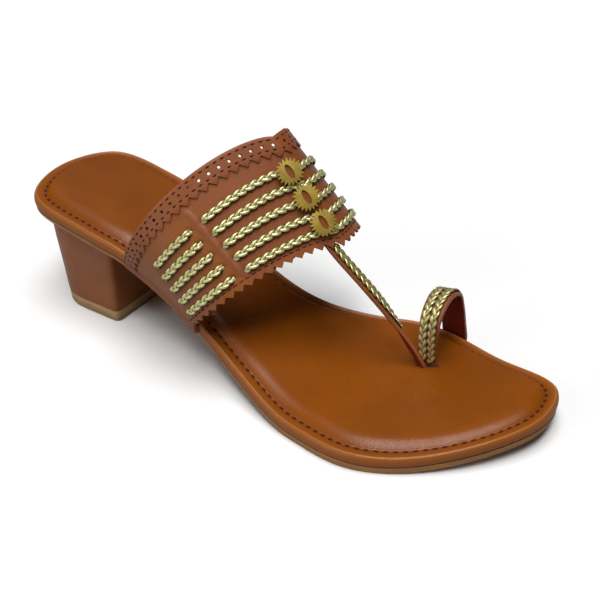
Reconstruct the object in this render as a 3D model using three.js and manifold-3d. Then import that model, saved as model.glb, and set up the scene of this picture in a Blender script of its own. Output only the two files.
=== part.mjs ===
// Heeled sandal for the right foot: block heel, padded footbed, instep band with braided cords, toe loop.
// Millimetres: x runs from the back of the heel to the toe, y towards the big toe's side, z up off the floor.
import * as THREE from 'three';
import { mergeVertices } from 'three/addons/utils/BufferGeometryUtils.js';
import Module from 'manifold-3d';

const { clamp, lerp, mapLinear, smoothstep } = THREE.MathUtils;

// Clearance between pieces that meet on a curve
const FIT_GAP = 0.3;

// Footbed: plan outline, height of its underside, and the profile of its rim from underside to pillow
const BED_OUTLINE = [
  { station: -3, side: 1.5 },
  { station: 7, side: -25.5 },
  { station: 42, side: -31.5 },
  { station: 98, side: -30 },
  { station: 162, side: -47.5 },
  { station: 196, side: -48.5 },
  { station: 234, side: -22.5 },
  { station: 251, side: 6 },
  { station: 246.5, side: 28 },
  { station: 216, side: 39 },
  { station: 174, side: 45 },
  { station: 131, side: 26.5 },
  { station: 95, side: 24 },
  { station: 43, side: 31.5 },
  { station: 8, side: 28.5 },
];
const BED_UNDERSIDE = [
  { station: -3, height: 51.8 },
  { station: 30, height: 48 },
  { station: 58, height: 43.5 },
  { station: 78, height: 34.5 },
  { station: 100, height: 22.5 },
  { station: 130, height: 10.5 },
  { station: 165, height: 3 },
  { station: 205, height: 3 },
  { station: 251, height: 9.5 },
];
const BED_RIM = [
  { inset: 1.2, lift: 0 },
  { inset: 0.2, lift: 0.9 },
  { inset: 0, lift: 2.4 },
  { inset: 0.3, lift: 4.2 },
  { inset: 1.5, lift: 5 },
  { inset: 3.8, lift: 4.5 },
  { inset: 5.8, lift: 4.5 },
  { inset: 6.9, lift: 6 },
  { inset: 8.4, lift: 6.9 },
  { inset: 13, lift: 7.2 },
];
const BED_RIM_HEIGHT = 5;
const BED_PILLOW_HEIGHT = 7.2;
const BED_RING_POINTS = 96;
const BED_EDGE_POINTS = 800;

// Outsole: its edge lies a little inside the footbed's, and it is thicker under the forefoot
const OUTSOLE_INSET = 0.5;
const OUTSOLE_EDGE_ROUND = 0.8;
const OUTSOLE_THICKNESS = [
  { station: -3, thickness: 2 },
  { station: 110, thickness: 2 },
  { station: 165, thickness: 3 },
  { station: 251, thickness: 3 },
];

// Heel: rounded at the back, flat breast in front, tapering towards the floor
const HEEL_LEVELS = [
  { height: 0, back: 10.6, breast: 50.2, halfWidth: 24.6 },
  { height: 6, back: 10.1, breast: 50.3, halfWidth: 24.9 },
  { height: 20, back: 8.9, breast: 50.9, halfWidth: 25.7 },
  { height: 34, back: 7.6, breast: 51.9, halfWidth: 26.8 },
  { height: 48, back: 6.4, breast: 53.3, halfWidth: 27.6 },
];
const TOP_PIECE_HEIGHT = 6;
const HEEL_SIDE = 0.3;
const HEEL_BACK_SQUARENESS = 2.7;
const HEEL_BREAST_SQUARENESS = 20;
const HEEL_RING_POINTS = 48;

// Instep band: its back and front edges, each from the outer foot over the ridge to the inner foot, with the
// stations of the feet and the side positions where it is widest
const WALL = 2;
const BAND_BACK = {
  foot: { outer: 67, inner: 70 },
  widest: { outer: -37, inner: 33.5 },
  ridge: new THREE.Vector3(118.8, 8, 101.5),
};
const BAND_FRONT = {
  foot: { outer: 105, inner: 105 },
  widest: { outer: -37.2, inner: 39 },
  ridge: new THREE.Vector3(153.8, 8, 60.5),
};
// Fullness rounds the arch's shoulder, and lean sets how soon it swings forward to the ridge
const BAND_OUTER = { name: 'outer', side: -1, fullness: 1.24, lean: 0.95 };
const BAND_INNER = { name: 'inner', side: 1, fullness: 0.75, lean: 1.5 };
const BAND_FOOT_SPAN = 38;
const BAND_TUCK = 6;
const BAND_ROWS = [0, 0.2, 0.4, 0.6, 0.8, 0.95, 1];
const BAND_TOOTH_DEPTH = 0.042;
const BAND_HALF_COLUMNS = 36;
// Share of the band's depth and width over which its directions are measured
const BAND_STEP = 0.02;

// Collar trim: strip along the band's back edge with a pinked front edge
const TRIM = { start: 0.012, width: 0.136, toothDepth: 0.049, thickness: 0.8, halfColumns: 42 };

// Braided cords on the band: rows from back to front, each showing in three runs
const CORD_ROWS = 5;
const CORD_AT_RIDGE = { first: 0.3, step: 0.139 };
const CORD_AT_SIDES = { first: 0.354, step: 0.128 };
const CORD_SIDES_FROM = 0.5;
const CORD_WIDTH = 3.4;
const CORD_HEIGHT = 1.7;
const CORD_FOOT_STEP = 0.018;
const CORD_RUNS = [
  { run: 'outer', from: -0.79, to: -0.54, footEnd: 'from', steps: 7 },
  { run: 'top', from: -0.475, to: 0.475, footEnd: 'none', steps: 20 },
  { run: 'inner', from: 0.54, to: 0.79, footEnd: 'to', steps: 7 },
];
// Corners of a cord's section, as shares of its half width and its height
const CORD_SECTION = [
  { across: -1, up: 0 },
  { across: -1, up: 0.55 },
  { across: -0.5, up: 1 },
  { across: 0.5, up: 1 },
  { across: 1, up: 0.55 },
  { across: 1, up: 0 },
];

// Medallions on the ridge, lying on the cords, and their places between the band's back and front edges
const MEDALLION = {
  radius: 6,
  toothDepth: 1.8,
  teeth: 20,
  thickness: 1.2,
  slitLength: 6.4,
  slitWidth: 2.4,
  slitSegments: 6,
};
const MEDALLION_SIDE = -0.03;
const MEDALLION_CLEARANCE = 0.6;
const MEDALLION_DEPTHS = [0.32, 0.55, 0.78];

// Toe strap from under the band to the toe post, tapering on the way, and the loop for the big toe
const TOE_STRAP = {
  topWidth: 5.2,
  endWidth: 4.4,
  thickness: 1.8,
  side: -0.053,
  underBand: 0.8,
  underWall: 1.8,
  bow: 1.8,
  steps: 40,
  post: { station: 190.4, side: 13.4 },
  end: { station: 191.4, side: 14.4 },
  // Turn of its braided face towards the loop, over its last stretch
  twist: { angle: 1.12, from: 0.42, to: 0.84 },
};
const TOE_LOOP = {
  station: 191.6,
  innerStation: 188.8,
  postSide: 15.6,
  postRise: 2,
  innerSide: 41,
  shoulder: 25.2,
  apex: 37.4,
  postCorner: { reach: 0.76, drop: 3 },
  innerCorner: { reach: 0.74, drop: 4.2 },
  tuck: 5,
  tuckRound: 2,
  tilt: 0.22,
  level: { from: 0.68, to: 0.82 },
  // Turn of its width in plan at the post, in line with the strap's slot, and where that has gone
  postTurn: { angle: 0.48, from: 0.1, to: 0.36 },
  width: 12.8,
  postWidth: 8.6,
  widening: { from: 0.1, to: 0.7 },
  thickness: 1.8,
  steps: 40,
};
// Height above the footbed's underside where the straps end in their slots
const STRAP_END = 1.5;

// Braids along the toe strap and round the loop: their stretch of the strap under them, and their width and
// place as shares of its width; the loop's rear braid starts where the strap has passed in front of it
const BRAID_HEIGHT = 1.1;
const TOE_STRAP_BRAID = { from: 0.2, to: 0.8, steps: 24, width: 0.64, shift: 0.13 };
const TOE_LOOP_BRAIDS = [
  { name: 'toe_loop_braid_rear', from: 0.2, to: 0.8, steps: 20, width: 0.4, shift: -0.205 },
  { name: 'toe_loop_braid_front', from: 0.1, to: 0.8, steps: 24, width: 0.4, shift: 0.205 },
];

const LEATHER = { color: 0x9c5f31, roughness: 0.45, metalness: 0 };
const SOLE_TAN = { color: 0xb98a55, roughness: 0.7, metalness: 0 };
const GOLD_BRAID = { color: 0xb4975a, roughness: 0.35, metalness: 0.8 };
const GOLD_LEATHER = { color: 0xa5823f, roughness: 0.5, metalness: 0.5 };

const wasm = await Module();
wasm.setup();

// Monotone cubic through a short table, level wherever neighbouring rows turn back
function profile(rows, column) {
  const slope = (k) => (rows[k + 1][column] - rows[k][column]) / (rows[k + 1].station - rows[k].station);
  const tangent = rows.map((_, k) => {
    if (k === 0) return slope(0);
    if (k === rows.length - 1) return slope(k - 1);
    const product = slope(k - 1) * slope(k);
    return product <= 0 ? 0 : (2 * product) / (slope(k - 1) + slope(k));
  });
  return (station) => {
    const next = rows.findIndex((row) => row.station > station);
    const k = next < 0 ? rows.length - 2 : Math.max(next - 1, 0);
    const span = rows[k + 1].station - rows[k].station;
    const t = clamp((station - rows[k].station) / span, 0, 1);
    const rise = rows[k + 1][column] - rows[k][column];
    const early = (1 - t) * (tangent[k] * span - rise);
    const late = t * (tangent[k + 1] * span - rise);
    return rows[k][column] + rise * t + t * (1 - t) * (early - late);
  };
}

const bedUnderside = profile(BED_UNDERSIDE, 'height');
const bedSurface = (station) => bedUnderside(station) + BED_PILLOW_HEIGHT;
const outsoleThickness = profile(OUTSOLE_THICKNESS, 'thickness');
const outsoleUnderside = (station) => bedUnderside(station) - outsoleThickness(station);
const heelTop = (station) => outsoleUnderside(station) - FIT_GAP;

function enclosedVolume(points, index) {
  let volume = 0;
  const cross = new THREE.Vector3();
  for (let k = 0; k < index.length; k += 3) {
    cross.crossVectors(points[index[k + 1]], points[index[k + 2]]);
    volume += points[index[k]].dot(cross) / 6;
  }
  return volume;
}

// Closed solid through loops of equal, even length; each end is closed by rungs across its loop
function loft(loops) {
  const count = loops[0].length;
  const index = [];
  const quad = (a, b, c, d) => index.push(a, b, c, a, c, d);
  for (let k = 0; k + 1 < loops.length; k++) {
    for (let i = 0; i < count; i++) {
      const j = (i + 1) % count;
      quad(k * count + i, k * count + j, (k + 1) * count + j, (k + 1) * count + i);
    }
  }
  const last = (loops.length - 1) * count;
  for (let i = 0; i + 1 < count / 2; i++) {
    const far = count - 1 - i;
    quad(far, far - 1, i + 1, i);
    quad(last + i, last + i + 1, last + far - 1, last + far);
  }
  const points = loops.flat();
  if (enclosedVolume(points, index) < 0) index.reverse();
  const geometry = new THREE.BufferGeometry().setFromPoints(points);
  geometry.setIndex(index);
  return geometry;
}

function toSolid(geometry) {
  const plain = new THREE.BufferGeometry();
  plain.setAttribute('position', geometry.attributes.position);
  plain.setIndex(geometry.index);
  const merged = mergeVertices(plain);
  const vertProperties = merged.attributes.position.array;
  const triVerts = new Uint32Array(merged.index.array);
  return new wasm.Manifold(new wasm.Mesh({ numProp: 3, vertProperties, triVerts }));
}

function toGeometry(solid) {
  const { vertProperties, triVerts } = solid.getMesh();
  const geometry = new THREE.BufferGeometry();
  geometry.setAttribute('position', new THREE.BufferAttribute(vertProperties, 3));
  geometry.setIndex(new THREE.BufferAttribute(triVerts, 1));
  return geometry;
}

// Footbed outline, split at its heel and toe ends into an outer and an inner edge that both run forward
const outlineCorners = BED_OUTLINE.map((row) => new THREE.Vector3(row.station, row.side, 0));
const outlineCurve = new THREE.CatmullRomCurve3(outlineCorners, true, 'centripetal');
const outline = outlineCurve.getSpacedPoints(BED_EDGE_POINTS).slice(1);
const stations = outline.map((point) => point.x);
const heelEnd = stations.indexOf(Math.min(...stations));
const fromHeel = [...outline.slice(heelEnd), ...outline.slice(0, heelEnd + 1)];
const toeEnd = fromHeel.findIndex((point) => point.x === Math.max(...stations));
const outerEdge = fromHeel.slice(0, toeEnd + 1);
const innerEdge = fromHeel.slice(toeEnd).reverse();

// Side position of the footbed's edge at a station, on the outer (-1) or inner (1) side
function bedEdge(side, station) {
  const edge = side < 0 ? outerEdge : innerEdge;
  const next = edge.findIndex((point, i) => i > 0 && point.x >= station);
  const [a, b] = [edge[next - 1], edge[next]];
  return mapLinear(station, a.x, b.x, a.y, b.y);
}

// Ring of the outline with each outer point across from an inner point, closer together towards heel and toe
function bedRingPoints() {
  const [heel, toe] = [fromHeel[0].x, fromHeel[toeEnd].x];
  const half = BED_RING_POINTS / 2;
  const forward = Array.from({ length: half }, (_, i) => {
    const share = (1 - Math.cos((Math.PI * (i + 0.5)) / half)) / 2;
    return lerp(heel, toe, share);
  });
  const outer = forward.map((x) => new THREE.Vector3(x, bedEdge(-1, x), 0));
  const inner = forward.map((x) => new THREE.Vector3(x, bedEdge(1, x), 0));
  return [...outer, ...inner.reverse()];
}

const bedRing = bedRingPoints();

function insetRing(inset, heightAt) {
  return bedRing.map((point, i) => {
    const before = bedRing[(i + BED_RING_POINTS - 1) % BED_RING_POINTS];
    const after = bedRing[(i + 1) % BED_RING_POINTS];
    const along = after.clone().sub(before).normalize();
    const x = point.x - along.y * inset;
    const y = point.y + along.x * inset;
    return new THREE.Vector3(x, y, heightAt(x));
  });
}

function footbedBlank() {
  return loft(BED_RIM.map(({ inset, lift }) => insetRing(inset, (x) => bedUnderside(x) + lift)));
}

function outsoleGeometry() {
  const round = OUTSOLE_EDGE_ROUND;
  return loft([
    insetRing(OUTSOLE_INSET + round, outsoleUnderside),
    insetRing(OUTSOLE_INSET, (x) => outsoleUnderside(x) + round),
    insetRing(OUTSOLE_INSET, (x) => bedUnderside(x) - FIT_GAP),
  ]);
}

// Heel section at one level: a squared oval with a rounder back and a flat breast
function heelRing(level, heightAt) {
  const middle = (level.back + level.breast) / 2;
  const depth = (level.breast - level.back) / 2;
  return Array.from({ length: HEEL_RING_POINTS }, (_, i) => {
    const angle = ((i + 0.5) / HEEL_RING_POINTS) * 2 * Math.PI;
    const forward = -Math.cos(angle);
    const sideways = Math.sin(angle);
    const power = 2 / (forward < 0 ? HEEL_BACK_SQUARENESS : HEEL_BREAST_SQUARENESS);
    const squared = (share) => Math.sign(share) * Math.abs(share) ** power;
    const x = middle + depth * squared(forward);
    const y = HEEL_SIDE + level.halfWidth * squared(sideways);
    return new THREE.Vector3(x, y, heightAt(x));
  });
}

function heelBlockGeometry() {
  const levels = HEEL_LEVELS.filter((level) => level.height >= TOP_PIECE_HEIGHT);
  const seat = levels.pop();
  return loft([...levels.map((level) => heelRing(level, () => level.height)), heelRing(seat, heelTop)]);
}

function topPieceGeometry() {
  const levels = HEEL_LEVELS.filter((level) => level.height <= TOP_PIECE_HEIGHT);
  return loft(levels.map((level) => heelRing(level, () => level.height)));
}

// Point at the band's foot: out from the footbed's edge and up from its underside
function bandFoot(half, v, out, up) {
  const station = lerp(BAND_BACK.foot[half.name], BAND_FRONT.foot[half.name], v);
  const y = bedEdge(half.side, station) + half.side * out;
  return new THREE.Vector3(station, y, bedUnderside(station) + up);
}

// Half of the band's arch at depth v (0 back edge, 1 front edge), from the footbed's rim up to the ridge
class HalfArch extends THREE.Curve {
  constructor(half, v) {
    super();
    this.half = half;
    this.foot = bandFoot(half, v, FIT_GAP + WALL / 2, BED_RIM_HEIGHT);
    this.ridge = BAND_BACK.ridge.clone().lerp(BAND_FRONT.ridge, v);
    this.widest = lerp(BAND_BACK.widest[half.name], BAND_FRONT.widest[half.name], v);
    const footReach = (this.foot.y - this.ridge.y) / (this.widest - this.ridge.y);
    this.startAngle = -Math.acos(footReach ** (1 / half.fullness));
  }

  getPoint(t, target = new THREE.Vector3()) {
    const angle = lerp(this.startAngle, Math.PI / 2, t);
    const rise = (Math.sin(angle) - Math.sin(this.startAngle)) / (1 - Math.sin(this.startAngle));
    const reach = Math.max(Math.cos(angle), 0) ** this.half.fullness;
    return target.set(
      lerp(this.foot.x, this.ridge.x, 1 - (1 - t) ** this.half.lean),
      lerp(this.ridge.y, this.widest, reach),
      lerp(this.foot.z, this.ridge.z, rise),
    );
  }
}

const arches = new Map();

function halfArch(half, v) {
  const key = `${half.name} ${v.toFixed(5)}`;
  if (!arches.has(key)) arches.set(key, new HalfArch(half, v));
  return arches.get(key);
}

// Middle of the band's wall: h runs from -1 at the outer rim over 0 at the ridge to 1 at the inner rim
function bandPoint(h, v) {
  return halfArch(h < 0 ? BAND_OUTER : BAND_INNER, v).getPointAt(1 - Math.min(Math.abs(h), 1));
}

// Direction on the band from its back edge towards its front edge
function bandForward(h, v) {
  return bandPoint(h, v + BAND_STEP).sub(bandPoint(h, v - BAND_STEP)).normalize();
}

function bandNormal(h, v) {
  const inner = bandPoint(Math.min(h + BAND_STEP, 1), v);
  const across = inner.sub(bandPoint(Math.max(h - BAND_STEP, -1), v));
  return bandForward(h, v).cross(across).normalize();
}

// Point on the band at a height above the middle of its wall
function onBand(h, v, height) {
  return bandPoint(h, v).addScaledVector(bandNormal(h, v), height);
}

// Wall of the band with its tucked feet and pinked front edge; a clearance thickens and widens it, unpinked
function bandGeometry(clearance = 0) {
  const halfWall = WALL / 2 + clearance;
  const overrun = clearance / BAND_FOOT_SPAN;
  const depth = (v) => lerp(-overrun, 1 + overrun, v);
  const wallLoop = (pointAt) => [
    ...BAND_ROWS.map((v) => pointAt(v, halfWall)),
    ...BAND_ROWS.toReversed().map((v) => pointAt(v, -halfWall)),
  ];
  const footLoops = (half) => [
    wallLoop((v, height) => bandFoot(half, depth(v), -BAND_TUCK - clearance, WALL / 2 - height)),
    wallLoop((v, height) => bandFoot(half, depth(v), FIT_GAP + WALL / 2 + height, WALL / 2 - height)),
  ];
  const archLoops = [];
  for (let k = -BAND_HALF_COLUMNS; k <= BAND_HALF_COLUMNS; k++) {
    const h = k / BAND_HALF_COLUMNS;
    const notch = clearance === 0 && k % 2 !== 0 ? BAND_TOOTH_DEPTH : 0;
    archLoops.push(wallLoop((v, height) => onBand(h, v === 1 ? depth(v) - notch : depth(v), height)));
  }
  return loft([...footLoops(BAND_OUTER), ...archLoops, ...footLoops(BAND_INNER).toReversed()]);
}

// Strip swept along a curve, its width along the side given at each place; a clearance makes it larger
function ribbonGeometry(curve, { steps, sideAt, widthAt, thickness, lift = 0, clearance = 0 }) {
  const loops = [];
  for (let k = 0; k <= steps; k++) {
    const t = k / steps;
    const along = curve.getTangentAt(t);
    const side = sideAt(t);
    const out = along.clone().cross(side).normalize();
    const centre = curve.getPointAt(t).addScaledVector(out, lift);
    if (k === 0) centre.addScaledVector(along, -clearance);
    if (k === steps) centre.addScaledVector(along, clearance);
    const halfWidth = side.clone().multiplyScalar(widthAt(t) / 2 + clearance);
    const halfHeight = out.clone().multiplyScalar(thickness / 2 + clearance);
    const left = centre.clone().add(halfWidth);
    const right = centre.clone().sub(halfWidth);
    loops.push([
      left.clone().add(halfHeight),
      right.clone().add(halfHeight),
      right.clone().sub(halfHeight),
      left.clone().sub(halfHeight),
    ]);
  }
  return loft(loops);
}

function toeStrapCurve() {
  const { side, underBand, underWall, bow, post, end } = TOE_STRAP;
  const start = onBand(side, underBand, -underWall);
  const edge = onBand(side, 1, -underWall);
  const atBed = new THREE.Vector3(post.station, post.side, bedSurface(post.station));
  const middle = edge.clone().lerp(atBed, 0.5).add(new THREE.Vector3(bow, 0, bow));
  const inSlot = new THREE.Vector3(end.station, end.side, bedUnderside(end.station) + STRAP_END);
  return new THREE.CatmullRomCurve3([start, edge, middle, atBed, inSlot], false, 'centripetal');
}

// Loop from its post between the toes over the big toe, down outside the footbed's inner edge and under it
function toeLoopCurve() {
  const { station, innerStation, postSide, innerSide, apex, shoulder, thickness } = TOE_LOOP;
  const { postRise, postCorner, innerCorner, tuck, tuckRound } = TOE_LOOP;
  const underside = bedUnderside(station);
  const bottom = underside + STRAP_END;
  const bed = bedSurface(station);
  const beside = bedEdge(1, innerStation) + FIT_GAP + thickness / 2;
  const beneath = underside + thickness / 2;
  const middle = (postSide + innerSide) / 2;
  const halfSpan = (innerSide - postSide) / 2;
  const route = [
    { side: postSide, height: bottom },
    { side: postSide, height: bed + postRise },
    { side: postSide, height: shoulder },
    { side: middle - halfSpan * postCorner.reach, height: apex - postCorner.drop },
    { side: middle, height: apex },
    { side: middle + halfSpan * innerCorner.reach, height: apex - innerCorner.drop },
    { side: innerSide, height: shoulder },
    { side: beside, height: underside + BED_RIM_HEIGHT },
    { side: beside, height: beneath + tuckRound },
    { side: beside - tuckRound, height: beneath },
    { side: beside - tuckRound - tuck, height: beneath },
  ];
  const points = route.map(({ side, height }) => {
    const x = lerp(station, innerStation, smoothstep(side, postSide, innerSide));
    return new THREE.Vector3(x, side, height);
  });
  return new THREE.CatmullRomCurve3(points, false, 'centripetal');
}

// Direction of the loop's width: turned at the post, tilted over the toe, then level along the footbed's edge
function loopSide(t) {
  const { innerStation, tilt, level, width, postTurn } = TOE_LOOP;
  const turn = postTurn.angle * (1 - smoothstep(t, postTurn.from, postTurn.to));
  const tilted = new THREE.Vector3(Math.cos(turn), Math.sin(turn), Math.tan(tilt)).normalize();
  const [back, front] = [bedEdge(1, innerStation - width / 2), bedEdge(1, innerStation + width / 2)];
  const edgeway = new THREE.Vector3(width, front - back, 0).normalize();
  return tilted.lerp(edgeway, smoothstep(t, level.from, level.to)).normalize();
}

const strapWidth = (t) => lerp(TOE_STRAP.topWidth, TOE_STRAP.endWidth, t);
const loopWidening = (t) => smoothstep(t, TOE_LOOP.widening.from, TOE_LOOP.widening.to);
const loopWidth = (t) => lerp(TOE_LOOP.postWidth, TOE_LOOP.width, loopWidening(t));
const toeStrap = toeStrapCurve();
const toeLoop = toeLoopCurve();

// Direction of the strap's width: level at the band, turning about the strap towards its post
function strapSide(t) {
  const { angle, from, to } = TOE_STRAP.twist;
  const level = new THREE.Vector3(0, 1, 0);
  return level.applyAxisAngle(toeStrap.getTangentAt(t), -angle * smoothstep(t, from, to));
}

function toeStrapGeometry(clearance = 0) {
  const { steps, thickness } = TOE_STRAP;
  return ribbonGeometry(toeStrap, { steps, sideAt: strapSide, widthAt: strapWidth, thickness, clearance });
}

function toeLoopGeometry(clearance = 0) {
  const { steps, thickness } = TOE_LOOP;
  return ribbonGeometry(toeLoop, { steps, sideAt: loopSide, widthAt: loopWidth, thickness, clearance });
}

function upperGeometry() {
  const straps = toSolid(toeStrapGeometry()).add(toSolid(toeLoopGeometry()));
  return toGeometry(toSolid(bandGeometry()).add(straps));
}

// Footbed with the pockets that the band's feet, the toe strap and the loop are set into
function footbedGeometry() {
  const pockets = [bandGeometry(FIT_GAP), toeStrapGeometry(FIT_GAP), toeLoopGeometry(FIT_GAP)];
  return toGeometry(pockets.reduce((bed, pocket) => bed.subtract(toSolid(pocket)), toSolid(footbedBlank())));
}

function collarTrimGeometry() {
  const inner = WALL / 2 + FIT_GAP;
  const outer = inner + TRIM.thickness;
  const loops = [];
  for (let k = -TRIM.halfColumns; k <= TRIM.halfColumns; k++) {
    const h = k / TRIM.halfColumns;
    const front = TRIM.width + (k % 2 === 0 ? TRIM.toothDepth : 0);
    loops.push([
      onBand(h, TRIM.start, outer),
      onBand(h, front, outer),
      onBand(h, front, inner),
      onBand(h, TRIM.start, inner),
    ]);
  }
  return loft(loops);
}

// Depth on the band of a cord row, which fans out slightly towards the ridge
function cordDepth(row, h) {
  const atRidge = CORD_AT_RIDGE.first + CORD_AT_RIDGE.step * row;
  const atSides = CORD_AT_SIDES.first + CORD_AT_SIDES.step * row;
  return lerp(atRidge, atSides, Math.min(Math.abs(h) / CORD_SIDES_FROM, 1));
}

// Half-round cord lying on the band along one row
function cordGeometry(row, run) {
  const footShift = CORD_FOOT_STEP * row;
  const from = run.from - (run.footEnd === 'from' ? footShift : 0);
  const to = run.to + (run.footEnd === 'to' ? footShift : 0);
  const loops = [];
  for (let k = 0; k <= run.steps; k++) {
    const h = lerp(from, to, k / run.steps);
    const v = cordDepth(row, h);
    const base = onBand(h, v, WALL / 2 + FIT_GAP);
    const halfWidth = bandForward(h, v).multiplyScalar(CORD_WIDTH / 2);
    const height = bandNormal(h, v).multiplyScalar(CORD_HEIGHT);
    const corner = ({ across, up }) =>
      base.clone().addScaledVector(halfWidth, across).addScaledVector(height, up);
    loops.push(CORD_SECTION.map(corner));
  }
  return loft(loops);
}

// Toothed disc with an almond slit that lies along the ridge
function medallionGeometry(v) {
  const { radius, toothDepth, teeth, thickness, slitLength, slitWidth, slitSegments } = MEDALLION;
  const corners = Array.from({ length: teeth * 2 }, (_, k) => {
    const angle = (k / teeth) * Math.PI;
    const reach = radius - (k % 2) * toothDepth;
    return new THREE.Vector2(reach * Math.cos(angle), reach * Math.sin(angle));
  });
  const slit = new THREE.Path();
  slit.moveTo(-slitLength / 2, 0);
  slit.quadraticCurveTo(0, slitWidth, slitLength / 2, 0);
  slit.quadraticCurveTo(0, -slitWidth, -slitLength / 2, 0);
  const face = new THREE.Shape(corners);
  face.holes.push(slit);
  const cut = { depth: thickness, bevelEnabled: false, curveSegments: slitSegments };
  const disc = new THREE.ExtrudeGeometry(face, cut);
  const normal = bandNormal(MEDALLION_SIDE, v);
  const forward = bandForward(MEDALLION_SIDE, v);
  const across = normal.clone().cross(forward);
  const seat = onBand(MEDALLION_SIDE, v, WALL / 2 + FIT_GAP + CORD_HEIGHT + MEDALLION_CLEARANCE);
  disc.applyMatrix4(new THREE.Matrix4().makeBasis(forward, across, normal).setPosition(seat));
  return disc;
}

// Braid lying on one face of a strap (1 or -1, along its tangent crossed with its side)
function braidGeometry(strap, { from, to, steps, width, shift }) {
  const stretch = Array.from({ length: steps + 1 }, (_, k) => lerp(from, to, k / steps));
  const points = stretch.map((t) => {
    const across = strap.sideAt(t).multiplyScalar(shift * strap.widthAt(t));
    return strap.curve.getPointAt(t).add(across);
  });
  const run = new THREE.CatmullRomCurve3(points, false, 'centripetal');
  const lift = strap.face * (strap.thickness / 2 + FIT_GAP + BRAID_HEIGHT / 2);
  const sideAt = (t) => strap.sideAt(lerp(from, to, t));
  const widthAt = (t) => width * strap.widthAt(lerp(from, to, t));
  return ribbonGeometry(run, { steps, sideAt, widthAt, thickness: BRAID_HEIGHT, lift });
}

function piece(name, geometry, finish) {
  const mesh = new THREE.Mesh(geometry, new THREE.MeshStandardMaterial(finish));
  mesh.name = name;
  return mesh;
}

const sandal = new THREE.Group();
sandal.add(
  piece('outsole', outsoleGeometry(), SOLE_TAN),
  piece('heel_top_piece', topPieceGeometry(), SOLE_TAN),
  piece('heel_block', heelBlockGeometry(), LEATHER),
  piece('footbed', footbedGeometry(), LEATHER),
  piece('upper', upperGeometry(), LEATHER),
  piece('collar_trim', collarTrimGeometry(), LEATHER),
);
for (let row = 0; row < CORD_ROWS; row++) {
  for (const run of CORD_RUNS) {
    sandal.add(piece(`cord_${row + 1}_${run.run}`, cordGeometry(row, run), GOLD_BRAID));
  }
}
MEDALLION_DEPTHS.forEach((v, k) => {
  sandal.add(piece(`medallion_${k + 1}`, medallionGeometry(v), GOLD_LEATHER));
});
const { thickness: strapThickness } = TOE_STRAP;
const { thickness: loopThickness } = TOE_LOOP;
const strap = { curve: toeStrap, sideAt: strapSide, widthAt: strapWidth, thickness: strapThickness, face: 1 };
const loop = { curve: toeLoop, sideAt: loopSide, widthAt: loopWidth, thickness: loopThickness, face: -1 };
sandal.add(piece('toe_strap_braid', braidGeometry(strap, TOE_STRAP_BRAID), GOLD_BRAID));
for (const braid of TOE_LOOP_BRAIDS) {
  sandal.add(piece(braid.name, braidGeometry(loop, braid), GOLD_BRAID));
}

// The origin is under the middle of the whole sandal, on the floor
const bounds = new THREE.Box3().setFromObject(sandal, true);
sandal.position.set(-(bounds.min.x + bounds.max.x) / 2, -(bounds.min.y + bounds.max.y) / 2, 0);

export default sandal;
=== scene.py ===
"""Heeled sandal with a braided instep band: leather, braids, stitching and stage, built round its frame."""

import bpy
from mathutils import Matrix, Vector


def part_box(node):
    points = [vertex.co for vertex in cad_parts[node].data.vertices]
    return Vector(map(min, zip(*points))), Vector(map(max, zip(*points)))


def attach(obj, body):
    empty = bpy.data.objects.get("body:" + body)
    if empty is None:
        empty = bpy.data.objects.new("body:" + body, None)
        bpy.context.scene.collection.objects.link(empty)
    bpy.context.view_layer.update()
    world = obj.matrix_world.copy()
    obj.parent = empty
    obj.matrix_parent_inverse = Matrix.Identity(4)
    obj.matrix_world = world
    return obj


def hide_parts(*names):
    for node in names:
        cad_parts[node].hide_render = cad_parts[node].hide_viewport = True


bl_info = {
    "name": "Braided Heeled Sandal",
    "version": (1, 0, 0),
    "blender": (4, 5, 0),
    "location": "View3D > Sidebar > Sandal",
    "description": "Builds the leather, braids, stitching and stage of a heeled sandal round its frame",
    "category": "Object",
}

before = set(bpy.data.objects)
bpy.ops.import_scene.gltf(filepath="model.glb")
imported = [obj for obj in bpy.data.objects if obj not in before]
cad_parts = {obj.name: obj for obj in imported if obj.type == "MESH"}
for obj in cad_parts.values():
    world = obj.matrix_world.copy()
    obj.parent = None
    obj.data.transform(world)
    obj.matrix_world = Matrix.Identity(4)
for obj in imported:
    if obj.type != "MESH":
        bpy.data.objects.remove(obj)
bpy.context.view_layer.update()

import math

import bpy
import numpy as np
from bpy.props import FloatProperty, FloatVectorProperty, PointerProperty
from bpy.types import Operator, Panel, PropertyGroup
from mathutils import Euler, Vector

# Lengths are in millimetres until a piece's mesh is laid. Stations run from the heel's back to the toe,
# sides towards the big toe, and heights up from the floor.
MM = 0.001
BODY = "root"
FIT_GAP = 0.3
SEAT_GAP = FIT_GAP / 3
CURVE_STEPS = 40

# Footbed: plan outline (station, side), underside (station, height) and rim profile (inset, lift)
BED_OUTLINE = [
    (-3, 1.5), (7, -25.5), (42, -31.5), (98, -30), (162, -47.5), (196, -48.5), (234, -22.5), (251, 6),
    (246.5, 28), (216, 39), (174, 45), (131, 26.5), (95, 24), (43, 31.5), (8, 28.5),
]
BED_UNDERSIDE = [
    (-3, 51.8), (30, 48), (58, 43.5), (78, 34.5), (100, 22.5), (130, 10.5), (165, 3), (205, 3), (251, 9.5),
]
BED_RIM = [
    (1.2, 0), (0.2, 0.9), (0, 2.4), (0.3, 4), (0.8, 4.7), (1.3, 5), (1.7, 4.9), (2.3, 4.6), (3.8, 4.5),
    (5.8, 4.5), (6.4, 5), (7.2, 5.6), (8.4, 6.3), (9.8, 6.85), (11.6, 7.15), (13.5, 7.2),
]
RIM_HEIGHT = 5
PILLOW_HEIGHT = 7.2
OUTLINE_POINTS = 224
OUTLINE_FINER = 4
RIM_STEPS = 4
ACROSS_SHARES = (0.2, 0.4, 0.6, 0.8, 1)
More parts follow.
